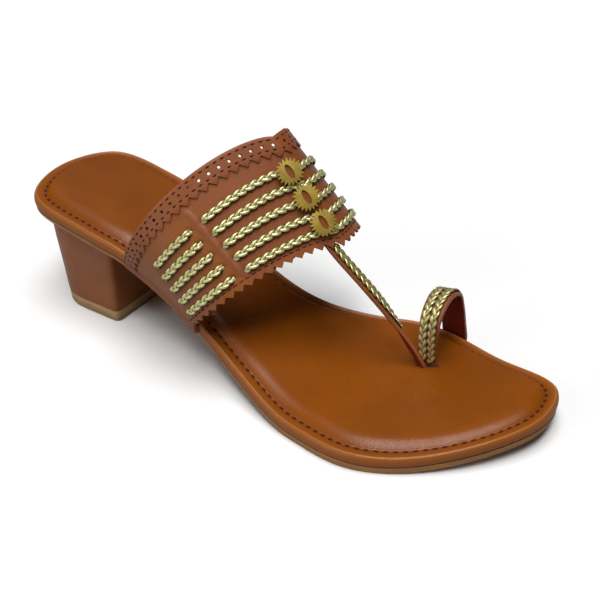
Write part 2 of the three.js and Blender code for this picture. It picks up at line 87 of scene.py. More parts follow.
END_FAN = 18

# Footbed's rim colour fades between two insets; the highlight painted along its top edge has an inset, a
# width and a lowest lift
RIM_FADE = (1.4, 4)
CREST_HIGHLIGHT = (1.4, 0.24)
CREST_HIGHLIGHT_FROM = 4

# Pillow: inset where its shoulder starts, its length where firm, and the way the outline runs where soft
LEDGE = 5.8
FIRM_SHOULDER = 0.45
SOFT_WAY = (0.8, 0.6)
SOFT_SPAN = (-0.2, 0.4)

# Stitched groove of the footbed, and the width of the shade painted in it
GROOVE_INSET = 5.2
GROOVE_WIDTH = 1.1
GROOVE_LIFT = 4.5
BED_STITCH_WIDTH = 1.3
BED_STITCH_SINK = 0.1
BED_STITCH_POINTS = 1200

# Outsole: thickness (station, thickness), the round of its lower edge, and shares of its side's height
SOLE_THICKNESS = [(-3, 2), (110, 2), (165, 3), (251, 3)]
SOLE_INSET = 0.5
SOLE_ROUND = 0.8
SOLE_TURNS = 5
SOLE_SIDE_SHARES = (0.4, 0.8, 0.96)
SOLE_TOP_INSET = 0.12

# Heel levels (height, back, breast, half width), the cover's lower edge (share of height, inset) and the top
# piece's rows (height, inset)
HEEL_LEVELS = [
    (0, 10.6, 50.2, 24.6), (6, 10.1, 50.3, 24.9), (20, 8.9, 50.9, 25.7), (34, 7.6, 51.9, 26.8),
    (48, 6.4, 53.3, 27.6),
]
HEEL_EDGE = [(0, 0.5), (0.006, 0.15), (0.02, 0)]
HEEL_ROWS = 10
HEEL_SIDE = 0.3
HEEL_SQUARENESS = (2.7, 20)
HEEL_RADIUS = 25
HEEL_RING = 160
TOP_PIECE_HEIGHT = 6
TOP_PIECE_ROWS = [(0, 0.9), (0.3, 0.4), (0.9, 0.1), (3, 0.1), (5.4, 0.1), (5.85, 0.4)]

# Instep band: foot stations (outer, inner), widest sides (outer, inner) and ridge point of its two edges
WALL = 2
BAND_BACK = {"foot": (67, 70), "widest": (-37, 33.5), "ridge": (118.8, 8, 101.5)}
BAND_FRONT = {"foot": (105, 105), "widest": (-37.2, 39), "ridge": (153.8, 8, 60.5)}
BAND_TUCK = 6
BAND_FOOT_ROUND = 1.2
BAND_TEETH = 36
BAND_TOOTH_DEPTH = 0.042
BAND_TOOTH_FROM = 0.9
BAND_STEP = 0.02
BAND_ROWS = 60
TOOTH_COLUMNS = 12
FOOT_COLUMNS = 10
PARED = 0.5
PARED_SPAN = (0.86, 0.97)
BAND_BEVEL = 0.3

# Top panel's raised edge (position, width and height), and the side strip that lies lower beside it
FOLD_AT = (0.496, 0.011)
FOLD_HEIGHT = 0.5
FOLD_DEPTHS = ((0.17, 0.24), (0.86, 0.93))
STRIP_DROP = 0.2
STRIP_DROP_SPANS = ((0.498, 0.52), (0.53, 0.64))
# Spans where the side strips' painted colour comes in, beside the fold and below the trim
STRIP_COLOUR_SPANS = ((0.498, 0.506), (0.16, 0.22))

# Collar trim along the band's back edge, between depths on the band
TRIM_DEPTHS = (0.012, 0.136)
TRIM_WIDTH = 6.2
TRIM_TOOTH = 0.049
TRIM_THICKNESS = 0.8
TRIM_GAP = 0.06
TRIM_BEVEL = 0.2
TRIM_HOLES = 0.524
TRIM_HOLE_LIP = 1.25
TRIM_STITCHES = (0.16, 0.845)
HOLE_SIDES = 16
PIN_SIDES = 14

# Stitches on the band and its trim: (pitch, length, width), and (first share, last share, points) of a row
BAND_STITCH = (3.0, 2.3, 0.5)
BAND_STITCH_ROW = (0.02, 0.98, 700)
BAND_STITCH_DEPTH = 0.925
TRIM_STITCH = (3.5, 1.8, 0.7)
TRIM_STITCH_ROW = (0.004, 0.996, 600)
THREAD_LIFT = 0.02

# Braided cords: depth of the first row and step between rows, at the ridge and at the sides
CORD_ROWS = 5
CORD_AT_RIDGE = (0.3, 0.139)
CORD_AT_SIDES = (0.354, 0.128)
CORD_SIDES_FROM = 0.5
CORD_HEIGHT = 1.7
CORD_GAP = 0.05
CORD_POINTS = 160
CORD_FOOT_STEP = 0.018
CORD_RUNS = {"outer": (-0.79, -0.54), "top": (-0.475, 0.475), "inner": (0.54, 0.79)}
# Pits where the cords go in: their depth, and the width of each pit and of the shade painted round it
PIT_DEPTH = 0.5
PIT_WIDTH = 1.35

# Braids: sizes as shares of the braid's width or height, the length over which an end dives, and how much
# painted shade a strand gets where it lies low and on its underside (strength, power)
STRAND_WIDTH = 0.4
STRAND_HEIGHT = 0.6
BRAID_STEP = 0.42
BRAID_DIVE = 1.6
# Dark tube under the strands, standing in for the shade seen between them: its size, its drop and its sides
CORE_SIZE = (0.36, 0.24)
CORE_DROP = 0.22
CORE_SIDES = 8
STRAND_SIDES = 10
BRAID_END_SHARE = 0.6
BRAID_END_DROP = 0.9
DARK_LOW = (0.95, 1.5)
DARK_UNDER = (1.3, 1.6)
DARK_FROM = 0.1

# Medallions along the ridge
MEDALLION_RADIUS = 6
MEDALLION_TOOTH = 1.8
MEDALLION_TEETH = 20
MEDALLION_TOOTH_COLUMNS = 6
MEDALLION_ROWS = 7
MEDALLION_THICKNESS = 1.2
MEDALLION_WALL = 0.9
MEDALLION_DOME = (0.5, 0.55)
MEDALLION_BEVEL = 0.14
MEDALLION_BACK = {"radius": 4.4, "height": 0.25, "thickness": 0.5, "grid": (40, 4)}
MEDALLION_SLIT = (6.6, 2.7)
MEDALLION_SIDE = -0.03
MEDALLION_DEPTHS = (0.32, 0.55, 0.78)
MEDALLION_SEAT = WALL / 2 + FIT_GAP + CORD_HEIGHT + 0.6

# Toe strap and toe loop; a braid is (shift and share of the strap's width, ends along the strap)
STRAP_SIDE = -0.053
STRAP_UNDER_BAND = 0.8
STRAP_UNDER_WALL = 1.8
STRAP_BOW = 1.8
STRAP_POST = (190.4, 13.4)
STRAP_SLOT = (191.4, 14.4)
STRAP_TWIST = 1.12
STRAP_TWIST_SPAN = (0.42, 0.84)
STRAP_WIDTHS = (5.2, 4.4)
STRAP_THICKNESS = 1.8
STRAP_END = 1.5
STRAP_ROWS = 70
STRAP_BRAID = (0.07, 0.84, (0.12, 0.7))
LOOP_STATIONS = (191.6, 188.8)
LOOP_SIDES = (15.6, 41)
LOOP_SHOULDER = 25.2
LOOP_APEX = 37.4
LOOP_CORNERS = ((0.76, 3), (0.74, 4.2))
LOOP_TUCK = 5
LOOP_TUCK_ROUND = 2
LOOP_TILT = 0.22
LOOP_LEVEL_SPAN = (0.68, 0.82)
LOOP_POST_TURN = 0.48
LOOP_POST_TURN_SPAN = (0.1, 0.36)
LOOP_WIDTHS = (8.6, 12.8)
LOOP_WIDENING = (0.1, 0.7)
LOOP_THICKNESS = 1.8
LOOP_ROWS = 140
LOOP_POST_CLEAR = 2
LOOP_BRAID_REAR = (-0.205, 0.41, (0.09, 0.8))
LOOP_BRAID_FRONT = (0.205, 0.41, (0.07, 0.8))
RIBBON_SIDES = 32
RIBBON_FLATNESS = (3, 1.6)
LINED_BELOW = -1.6
BRAID_HEIGHT = 1.1
BRAID_POINTS = 400
# Dark piece that paints the contact shadow in the footbed's slit: its ends, lip width and rise, sink, taper
# and grid
TOE_SLIT = ((187.6, 11.9), (197.4, 17.2))
TOE_SLIT_LIP = (1.35, 0.22)
TOE_SLIT_SINK = 0.1
TOE_SLIT_TAPER = (4, 0.02)
TOE_SLIT_GRID = (16, 24)

# Camera: its place, its turn round the sandal, tip and roll in degrees, and its shift
CAMERA_PLACE = (375.4, -332.6, 311.7)
CAMERA_ANGLES = (32.96, 32.7, 0.21)
CAMERA_SHIFT = (-0.075, -0.057)
SENSOR_WIDTH = 36
CLIP_START = 0.01

# Lights: where each comes from, and its spread in degrees; the floor's radius in metres
LIGHTS = {
    "overhead": ((0.06, -0.05, 1.0), 40),
    "key": ((0.2, -0.4, 0.85), 18),
    "fill": ((-0.5, -1.0, 0.45), 40),
    "back": ((-0.6, 0.4, 0.85), 40),
}
ROOM_COLOUR = (1.0, 0.98, 0.95, 1)
ROOM_LIGHT = 0.028
FLOOR_RADIUS = 4
FLOOR_SIDES = 96


def lerp(a, b, t):
    return a + (b - a) * t


def smooth(low, high, value):
    """Smooth step from 0 below low to 1 above high."""
    t = np.clip((np.asarray(value, float) - low) / (high - low), 0, 1)
    return t * t * (3 - 2 * t)


def bell(value, centre, width):
    """Bell curve of height 1."""
    return np.exp(-(((np.asarray(value, float) - centre) / width) ** 2))


def unit(vectors):
    return vectors / np.linalg.norm(vectors, axis=-1, keepdims=True)


def nearest_row(share, rows):
    return np.round(share * rows).astype(int)


def monotone(rows):
    """Monotone cubic through (station, value) rows, level wherever neighbouring rows turn back."""
    x, y = np.array(rows, float).T
    slope = np.diff(y) / np.diff(x)
    product = slope[:-1] * slope[1:]
    total = np.where(product > 0, slope[:-1] + slope[1:], 1)
    tangent = np.concatenate([slope[:1], np.where(product > 0, 2 * product / total, 0), slope[-1:]])

    def value(station):
        s = np.clip(station, x[0], x[-1])
        k = np.clip(np.searchsorted(x, s, side="right") - 1, 0, len(x) - 2)
        span = x[k + 1] - x[k]
        t = (s - x[k]) / span
        rise = y[k + 1] - y[k]
        early = (1 - t) * (tangent[k] * span - rise)
        late = t * (tangent[k + 1] * span - rise)
        return y[k] + rise * t + t * (1 - t) * (early - late)

    return value


def through(points, per_span, closed=False):
    """Centripetal curve through a few points, as per_span points for each span."""
    p = np.array(points, float)
    before, after = (p[-1:], p[:2]) if closed else ([2 * p[0] - p[1]], [2 * p[-1] - p[-2]])
    chain = np.concatenate([before, p, after])
    spans = []
    for a, b, c, d in zip(chain, chain[1:], chain[2:], chain[3:]):
        t1 = np.linalg.norm(b - a) ** 0.5
        t2 = t1 + np.linalg.norm(c - b) ** 0.5
        t3 = t2 + np.linalg.norm(d - c) ** 0.5
        t = np.linspace(t1, t2, per_span, endpoint=False)[:, None]
        ab = lerp(a, b, t / t1)
        bc = lerp(b, c, (t - t1) / (t2 - t1))
        cd = lerp(c, d, (t - t2) / (t3 - t2))
        abc = lerp(ab, bc, t / t2)
        bcd = lerp(bc, cd, (t - t1) / (t3 - t1))
        spans.append(lerp(abc, bcd, (t - t1) / (t2 - t1)))
    return np.concatenate(spans if closed else [*spans, p[-1:]])


def run_lengths(line):
    steps = np.linalg.norm(np.diff(line, axis=0), axis=1)
    return np.concatenate([[0], np.cumsum(steps)])


def respaced(line, count, closed=False):
    """The same line as count evenly spaced points."""
    line = np.vstack([line, line[:1]]) if closed else np.asarray(line)
    run = run_lengths(line)
    at = np.linspace(0, 1, count, endpoint=not closed) * run[-1]
    return np.stack([np.interp(at, run, axis) for axis in line.T], axis=1)


bed_underside = monotone(BED_UNDERSIDE)
sole_thickness = monotone(SOLE_THICKNESS)


def sole_underside(station):
    return bed_underside(station) - sole_thickness(station)


def footbed_outline():
    """Footbed outline from the back of the heel round by the outer side."""
    curve = through(BED_OUTLINE, CURVE_STEPS, closed=True)
    ring = respaced(curve, OUTLINE_POINTS * OUTLINE_FINER, closed=True)
    return np.roll(ring, -int(np.argmin(ring[:, 0])), axis=0)


OUTLINE = footbed_outline()
TOE = int(np.argmax(OUTLINE[:, 0]))
OUTER_EDGE = OUTLINE[: TOE + 1]
INNER_EDGE = np.vstack([OUTLINE[TOE:], OUTLINE[:1]])[::-1]
RING = OUTLINE[::OUTLINE_FINER]
RING_ALONG = unit(np.roll(RING, -1, axis=0) - np.roll(RING, 1, axis=0))


def bed_edge(side, station):
    """Side position of the footbed's edge on the outer (-1) or inner (1) side."""
    edge = OUTER_EDGE if side < 0 else INNER_EDGE
    return np.interp(station, edge[:, 0], edge[:, 1])


def frame_shift():
    """From these millimetres to the frame: the middle of the footbed is the same place in both."""
    low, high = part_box("footbed")
    middle = (OUTLINE.min(0) + OUTLINE.max(0)) / 2
    return np.array([(low.x + high.x) / 2 / MM - middle[0], (low.y + high.y) / 2 / MM - middle[1], 0])


SHIFT = frame_shift()


def outline_ring(inset):
    """Plan points of the footbed's outline moved in by an inset, one row for each point."""
    return RING + np.stack([-RING_ALONG[:, 1], RING_ALONG[:, 0]], axis=1) * inset


def carried_across(rings, rows):
    """Rings and their rows, with more at both ends that run in to the middle line and close the piece."""
    count = len(rings[0])
    from_heel = np.minimum(np.arange(count), count - np.arange(count))
    opposite = np.clip(from_heel, END_FAN, count // 2 - END_FAN)

    def inward(ring):
        middle = (ring[opposite] + ring[-opposite]) / 2
        return [lerp(ring, middle, share) for share in ACROSS_SHARES]

    spare = len(ACROSS_SHARES)
    more = [*inward(rings[0])[::-1], *rings, *inward(rings[-1])]
    return np.stack(more), np.array([rows[0]] * spare + list(rows) + [rows[-1]] * spare)


def heel_ring(height):
    """Plan points of the heel's squared oval at a height."""
    levels = np.array(HEEL_LEVELS, float)
    back, breast, half = (np.interp(height, levels[:, 0], levels[:, k]) for k in (1, 2, 3))
    angle = np.linspace(0, 2 * math.pi, 9 * HEEL_RING, endpoint=False)
    forward, sideways = -np.cos(angle), np.sin(angle)
    power = np.where(forward < 0, 2 / HEEL_SQUARENESS[0], 2 / HEEL_SQUARENESS[1])
    x = (back + breast) / 2 + (breast - back) / 2 * np.sign(forward) * np.abs(forward) ** power
    y = HEEL_SIDE + half * np.sign(sideways) * np.abs(sideways) ** power
    return respaced(np.column_stack([x, y]), HEEL_RING, closed=True)


def heel_rings(levels, insets):
    """Plan rings of the heel at levels, each drawn in towards its middle."""
    rings = np.stack([heel_ring(level) for level in levels])
    middle = rings.mean(axis=1, keepdims=True)
    return middle + (rings - middle) * (1 - np.asarray(insets) / HEEL_RADIUS)[:, None, None]


class BandHalf:
    """Half of the band's arch, from the footbed's rim to the ridge, at any depth (0 back, 1 front edge)."""

    DEPTHS = np.linspace(-0.1, 1.1, 61)
    SHARES = np.linspace(0, 1, 241)

    def __init__(self, column, fullness, lean):
        self.column = column
        self.side = (-1, 1)[column]
        self.fullness = fullness
        self.lean = lean
        t, v = np.meshgrid(self.SHARES, self.DEPTHS)
        steps = np.linalg.norm(np.diff(self.at(t, v), axis=1), axis=2)
        runs = np.concatenate([np.zeros((len(v), 1)), np.cumsum(steps, axis=1)], axis=1)
        self.lengths = runs[:, -1]
        self.even = np.stack([np.interp(self.SHARES * run[-1], run, self.SHARES) for run in runs])

    def foot_station(self, v):
        return lerp(BAND_BACK["foot"][self.column], BAND_FRONT["foot"][self.column], v)

    def at(self, t, v):
        """Point at curve value t of the arch at depth v."""
        station = self.foot_station(v)
        foot_y = bed_edge(self.side, station) + self.side * (FIT_GAP + WALL / 2)
        foot_z = bed_underside(station) + RIM_HEIGHT
        ridge = [lerp(a, b, v) for a, b in zip(BAND_BACK["ridge"], BAND_FRONT["ridge"])]
        widest = lerp(BAND_BACK["widest"][self.column], BAND_FRONT["widest"][self.column], v)
        reach = (foot_y - ridge[1]) / (widest - ridge[1])
        start = -np.arccos(np.clip(reach, 0, 1) ** (1 / self.fullness))
        angle = lerp(start, math.pi / 2, t)
        rise = (np.sin(angle) - np.sin(start)) / (1 - np.sin(start))
        spread = np.maximum(np.cos(angle), 0) ** self.fullness
        x = lerp(station, ridge[0], 1 - np.maximum(1 - t, 0) ** self.lean)
        return np.stack([x, lerp(ridge[1], widest, spread), lerp(foot_z, ridge[2], rise)], axis=-1)

    def place(self, share, v):
        """Point at a share of the arch's own length."""
        step = self.DEPTHS[1] - self.DEPTHS[0]
        row = np.clip((v - self.DEPTHS[0]) / step, 0, len(self.DEPTHS) - 1.001)
        column = np.clip(share, 0, 1) * (len(self.SHARES) - 1)
        k, j = row.astype(int), np.minimum(column.astype(int), len(self.SHARES) - 2)
        near = lerp(self.even[k, j], self.even[k, j + 1], column - j)
        far = lerp(self.even[k + 1, j], self.even[k + 1, j + 1], column - j)
        return self.at(lerp(near, far, row - k), v)

    def length(self, v):
        return float(np.interp(v, self.DEPTHS, self.lengths))

    def foot(self, down, v):
        """Middle of the wall a way down from the rim: straight, round the footbed's corner and under it."""
        out = FIT_GAP + WALL / 2
        drop = RIM_HEIGHT - WALL / 2 - BAND_FOOT_ROUND
        turn = np.clip((down - drop) / BAND_FOOT_ROUND, 0, math.pi / 2)
        tuck = np.maximum(down - drop - BAND_FOOT_ROUND * math.pi / 2, 0)
        across = out - BAND_FOOT_ROUND * (1 - np.cos(turn)) - tuck
        up = RIM_HEIGHT - np.minimum(down, drop) - BAND_FOOT_ROUND * np.sin(turn)
        station = self.foot_station(v)
        y = bed_edge(self.side, station) + self.side * across
        return np.stack([station, y, bed_underside(station) + up], axis=-1)


BAND_OUTER = BandHalf(0, fullness=1.24, lean=0.95)
BAND_INNER = BandHalf(1, fullness=0.75, lean=1.5)
BAND_FOOT_LENGTH = RIM_HEIGHT + BAND_TUCK


def band_point(h, v):
    """Middle of the band's wall: h is -1 at the outer rim, 0 at the ridge and 1 at the inner rim."""
    h, v = np.broadcast_arrays(np.asarray(h, float), np.asarray(v, float))
    share = 1 - np.minimum(np.abs(h), 1)
    return np.where((h < 0)[..., None], BAND_OUTER.place(share, v), BAND_INNER.place(share, v))


def band_forward(h, v):
    return unit(band_point(h, v + BAND_STEP) - band_point(h, v - BAND_STEP))


def band_normal(h, v):
    across = band_point(np.minimum(h + BAND_STEP, 1), v) - band_point(np.maximum(h - BAND_STEP, -1), v)
    return unit(np.cross(band_forward(h, v), across))


def on_band(h, v, height):
    """Point at a height over the middle of the band's wall."""
    return band_point(h, v) + band_normal(h, v) * np.asarray(height, float)[..., None]


def band_side(share, v):
    """Position h at a share of the way over the whole band from its outer to its inner rim, by length."""
    outer, inner = BAND_OUTER.length(v), BAND_INNER.length(v)
    way = np.asarray(share, float) * (outer + inner)
    return np.where(way < outer, way / outer - 1, (way - outer) / inner)


def trim_cells(trim):
    """Middle depth and length of the collar trim, and how many holes and teeth it has."""
    depth = sum(TRIM_DEPTHS) / 2
    length = BAND_OUTER.length(depth) + BAND_INNER.length(depth)
    return depth, length, round(length / (trim.hole_pitch / MM))


def cord_depth(row, h):
    at_ridge = CORD_AT_RIDGE[0] + CORD_AT_RIDGE[1] * row
    at_sides = CORD_AT_SIDES[0] + CORD_AT_SIDES[1] * row
    return lerp(at_ridge, at_sides, np.minimum(np.abs(h) / CORD_SIDES_FROM, 1))


def cord_ends(row, run):
    """Where a run of a cord goes into the leather, as two positions h."""
    start, end = CORD_RUNS[run]
    longer = CORD_FOOT_STEP * row
    return start - longer * (run == "outer"), end + longer * (run == "inner")


def cord_pits():
    """Places on the band's face where a cord's run goes in or comes out."""
    ends = [(row, h) for row in range(CORD_ROWS) for run in CORD_RUNS for h in cord_ends(row, run)]
    return np.stack([on_band(h, cord_depth(row, h), WALL / 2) for row, h in ends])


def strap_line():
    """Middle line of the toe strap, from under the band to its slot by the toe post."""
    start = on_band(STRAP_SIDE, STRAP_UNDER_BAND, -STRAP_UNDER_WALL)
    edge = on_band(STRAP_SIDE, 1, -STRAP_UNDER_WALL)
    at_bed = np.array([*STRAP_POST, bed_underside(STRAP_POST[0]) + PILLOW_HEIGHT])
    middle = (edge + at_bed) / 2 + np.array([STRAP_BOW, 0, STRAP_BOW])
    in_slot = np.array([*STRAP_SLOT, bed_underside(STRAP_SLOT[0]) + STRAP_END])
    return through([start, edge, middle, at_bed, in_slot], CURVE_STEPS)


def loop_line():
    """Middle line of the toe loop: up its post, over the big toe, down outside the footbed and under it."""
    post, inner = LOOP_SIDES
    underside = bed_underside(LOOP_STATIONS[0])
    beside = bed_edge(1, LOOP_STATIONS[1]) + FIT_GAP + LOOP_THICKNESS / 2
    beneath = underside + LOOP_THICKNESS / 2
    middle, half = (post + inner) / 2, (inner - post) / 2
    route = np.array([
        (post, underside + STRAP_END), (post, underside + PILLOW_HEIGHT + LOOP_POST_CLEAR),
        (post, LOOP_SHOULDER),
        (middle - LOOP_CORNERS[0][0] * half, LOOP_APEX - LOOP_CORNERS[0][1]), (middle, LOOP_APEX),
        (middle + LOOP_CORNERS[1][0] * half, LOOP_APEX - LOOP_CORNERS[1][1]),
        (inner, LOOP_SHOULDER), (beside, underside + RIM_HEIGHT), (beside, beneath + LOOP_TUCK_ROUND),
        (beside - LOOP_TUCK_ROUND, beneath), (beside - LOOP_TUCK_ROUND - LOOP_TUCK, beneath),
    ])
    stations = lerp(*LOOP_STATIONS, smooth(post, inner, route[:, 0]))
    return through(np.column_stack([stations, route]), CURVE_STEPS)


def turned(vectors, axes, angles):
    """Vectors turned about unit axes by angles, row by row."""
    cos, sin = np.cos(angles)[:, None], np.sin(angles)[:, None]
    along = (axes * vectors).sum(axis=1, keepdims=True)
    return vectors * cos + np.cross(axes, vectors) * sin + axes * along * (1 - cos)


def strap_across(line):
    """Direction of the toe strap's width: level at the band, turned towards the loop at the post."""
    share = run_lengths(line) / run_lengths(line)[-1]
    level = np.tile([0.0, 1.0, 0.0], (len(line), 1))
    return turned(level, unit(np.gradient(line, axis=0)), -STRAP_TWIST * smooth(*STRAP_TWIST_SPAN, share))


def loop_across(line):
    """Direction of the loop's width: turned at its post, tilted on top, then along the footbed's edge."""
    share = run_lengths(line) / run_lengths(line)[-1]
    reach = LOOP_WIDTHS[1] / 2
    rise = bed_edge(1, LOOP_STATIONS[1] + reach) - bed_edge(1, LOOP_STATIONS[1] - reach)
    turn = LOOP_POST_TURN * (1 - smooth(*LOOP_POST_TURN_SPAN, share))
    tilted = unit(np.column_stack([np.cos(turn), np.sin(turn), np.full(len(turn), math.tan(LOOP_TILT))]))
    edgeway = unit(np.array([2 * reach, rise, 0]))
    return unit(lerp(tilted, edgeway, smooth(*LOOP_LEVEL_SPAN, share)[:, None]))


def strap_widths(t):
    return lerp(*STRAP_WIDTHS, t)


def loop_widths(t):
    return lerp(*LOOP_WIDTHS, smooth(*LOOP_WIDENING, t))


def to_frame(points):
    return (np.asarray(points, float) + SHIFT) * MM


def only(piece):
    """Select one piece and make it the active one."""
    bpy.ops.object.select_all(action="DESELECT")
    piece.select_set(True)
    bpy.context.view_layer.objects.active = piece


def edit(piece, *steps):
    """Run edit-mode steps on the whole of one piece."""
    only(piece)
    bpy.ops.object.mode_set(mode="EDIT")
    bpy.ops.mesh.select_all(action="SELECT")
    for step in steps:
        step()
    bpy.ops.object.mode_set(mode="OBJECT")


def merge_seam():
    bpy.ops.mesh.remove_doubles(threshold=1e-6)


def face_outwards():
    bpy.ops.mesh.normals_make_consistent(inside=False)


def close_ends():
    bpy.ops.mesh.fill_holes(sides=0)


def face_towards(sheet, direction):
    """Turn a sheet's faces over if its highest one points away from a direction."""
    highest = max(sheet.data.polygons, key=lambda face: face.center.z)
    if highest.normal.dot(Vector(direction)) < 0:
        edit(sheet, bpy.ops.mesh.flip_normals)


def apply_modifier(piece, kind, **settings):
    modifier = piece.modifiers.new(kind.title(), kind)
    for key, value in settings.items():
        setattr(modifier, key, value)
    only(piece)
    bpy.ops.object.modifier_apply(modifier=modifier.name)


def bevelled(piece, width, degrees):
    """Round a piece's edges that are sharper than an angle."""
    angle = math.radians(degrees)
    apply_modifier(piece, "BEVEL", width=width * MM, segments=2, limit_method="ANGLE", angle_limit=angle)


def joined(name, pieces):
    only(pieces[0])
    for piece in pieces:
        piece.select_set(True)
    bpy.ops.object.join()
    pieces[0].name = pieces[0].data.name = name
    return pieces[0]


def set_mask(piece, name, values):
    """Per-point number that the piece's finish reads."""
    mask = piece.data.attributes.new(name, "FLOAT", "POINT")
    mask.data.foreach_set("value", np.broadcast_to(values, len(piece.data.vertices)).astype(np.float32))


def shaped_grid(name, columns, rows, place, masks=None, seam=False):
    """Grid laid by place(u, v), with masks from (u, v), and its two sides sewn together if asked."""
    bpy.ops.object.select_all(action="DESELECT")
    bpy.ops.mesh.primitive_grid_add(x_subdivisions=columns, y_subdivisions=rows, size=1)
    piece = bpy.context.object
    piece.name = piece.data.name = name
    flat = np.zeros(len(piece.data.vertices) * 3, np.float32)
    piece.data.vertices.foreach_get("co", flat)
    flat = flat.reshape(-1, 3).astype(float)
    u = np.round((flat[:, 0] + 0.5) * columns) / columns
    v = np.round((flat[:, 1] + 0.5) * rows) / rows
    piece.data.vertices.foreach_set("co", to_frame(place(u, v)).astype(np.float32).ravel())
    piece.data.update()
    for mask, values in (masks or {}).items():
        set_mask(piece, mask, values(u, v))
    if seam:
        edit(piece, merge_seam)
    return piece


def tube(name, around, along, place, masks=None):
    """Closed tube from a grid wrapped round and capped."""
    piece = shaped_grid(name, around, along, place, masks, seam=True)
    edit(piece, close_ends, face_outwards)
    return piece


def laid_rings(name, plans, heights, row_masks=None):
    """Closed piece through plan rings at their points' heights; each mask has a number for each row."""
    rings = np.dstack([plans, heights])
    rows, count = len(rings) - 1, rings.shape[1]

    def place(u, v):
        return rings[nearest_row(v, rows), nearest_row(u, count) % count]

    def mask(values):
        return lambda u, v: values[nearest_row(v, rows)]

    masks = {key: mask(values) for key, values in (row_masks or {}).items()}
    return tube(name, count, rows, place, masks)


def from_faces(name, points, faces):
    """New piece from points in millimetres and faces."""
    mesh = bpy.data.meshes.new(name)
    mesh.from_pydata(to_frame(points).tolist(), [], faces)
    piece = bpy.data.objects.new(name, mesh)
    bpy.context.scene.collection.objects.link(piece)
    return piece


def copied_faces(faces, corners, copies):
    """Faces of a repeat with so many corners, for each of its copies."""
    return [[k * corners + i for i in face] for k in range(copies) for face in faces]


def scattered(name, pattern, centres, along, up):
    """Copies of a small pattern mesh, one at each centre, as one piece; the pattern is then removed."""
    local = np.array([vertex.co for vertex in pattern.data.vertices]) / MM
    faces = [list(face.vertices) for face in pattern.data.polygons]
    along, up = unit(along), unit(up)
    side = unit(np.cross(up, along))
    axes = (along, side, np.cross(along, side))
    moves = (local[:, [k]] * axis[:, None] for k, axis in enumerate(axes))
    points = sum(moves, centres[:, None])
    bpy.data.objects.remove(pattern)
    return from_faces(name, points.reshape(-1, 3), copied_faces(faces, len(local), len(centres)))


def stitch_pattern(length, width):
    """One stitch, a flat stretched ball of thread about the origin."""
    bpy.ops.object.select_all(action="DESELECT")
    bpy.ops.mesh.primitive_uv_sphere_add(segments=8, ring_count=6, radius=0.5)
    pattern = bpy.context.object
    edit(pattern, lambda: bpy.ops.transform.resize(value=(width * 0.5, width, length)),
         lambda: bpy.ops.transform.rotate(value=math.pi / 2, orient_axis="Y", center_override=(0, 0, 0)))
    return pattern


def sewn(name, line, up, pitch, length, width):
    """Row of dark stitches along a line of evenly spaced points with their up directions."""
    count = max(int(run_lengths(line)[-1] / (pitch / MM)), 2)
    at = (np.arange(count) + 0.5) / count * (len(line) - 1)
    k = np.minimum(at.astype(int), len(line) - 2)
    part = (at - k)[:, None]
    centres, ups = lerp(line[k], line[k + 1], part), lerp(up[k], up[k + 1], part)
    piece = scattered(name, stitch_pattern(length, width), centres, line[k + 1] - line[k], ups)
    colour = bpy.context.scene.sandal_trim.thread
    dressed(piece, [material_once("dark thread", thread_material, colour)], 80, None)


def sewn_over_band(name, depth, height, row, stitch):
    """Row of stitches right over the band at a depth."""
    h = band_side(np.linspace(*row), depth)
    sizes = [size * MM for size in stitch]
    sewn(name, on_band(h, depth, height + THREAD_LIFT), band_normal(h, depth), *sizes)


def ribbon(name, line, across, widths, thickness, rows):
    """Flat strap with rounded edges along a line, its width along the directions that across(line) gives."""
    line = respaced(line, rows + 1)
    across = across(line)
    out = unit(np.cross(np.gradient(line, axis=0), across))
    corner = thickness / 2

    def place(u, v):
        k = nearest_row(v, rows)
        angle = 2 * math.pi * u
        half = widths(v) / 2 - corner
        flat = np.clip(np.cos(angle) * RIBBON_FLATNESS[0], -1, 1) * half + np.cos(angle) * corner
        height = np.clip(np.sin(angle) * RIBBON_FLATNESS[1], -1, 1) * corner
        return line[k] + across[k] * flat[:, None] + out[k] * height[:, None]

    return tube(name, RIBBON_SIDES, rows, place, {"face": lambda u, v: np.sin(2 * math.pi * u)})


def strand(name, middle, across, above, half_width, half_height, sides, cavity):
    """Oval strand along a middle line; its last argument gives how much painted shade it gets at a turn and
    a step.
    """
    steps = len(middle) - 1

    def place(u, v):
        k = nearest_row(v, steps)
        angle = 2 * math.pi * u
        spread, rise = np.cos(angle) * half_width[k], np.sin(angle) * half_height
        return middle[k] + across[k] * spread[:, None] + above[k] * rise[:, None]

    return tube(name, sides, steps, place, {"cavity": lambda u, v: cavity(u, nearest_row(v, steps))})


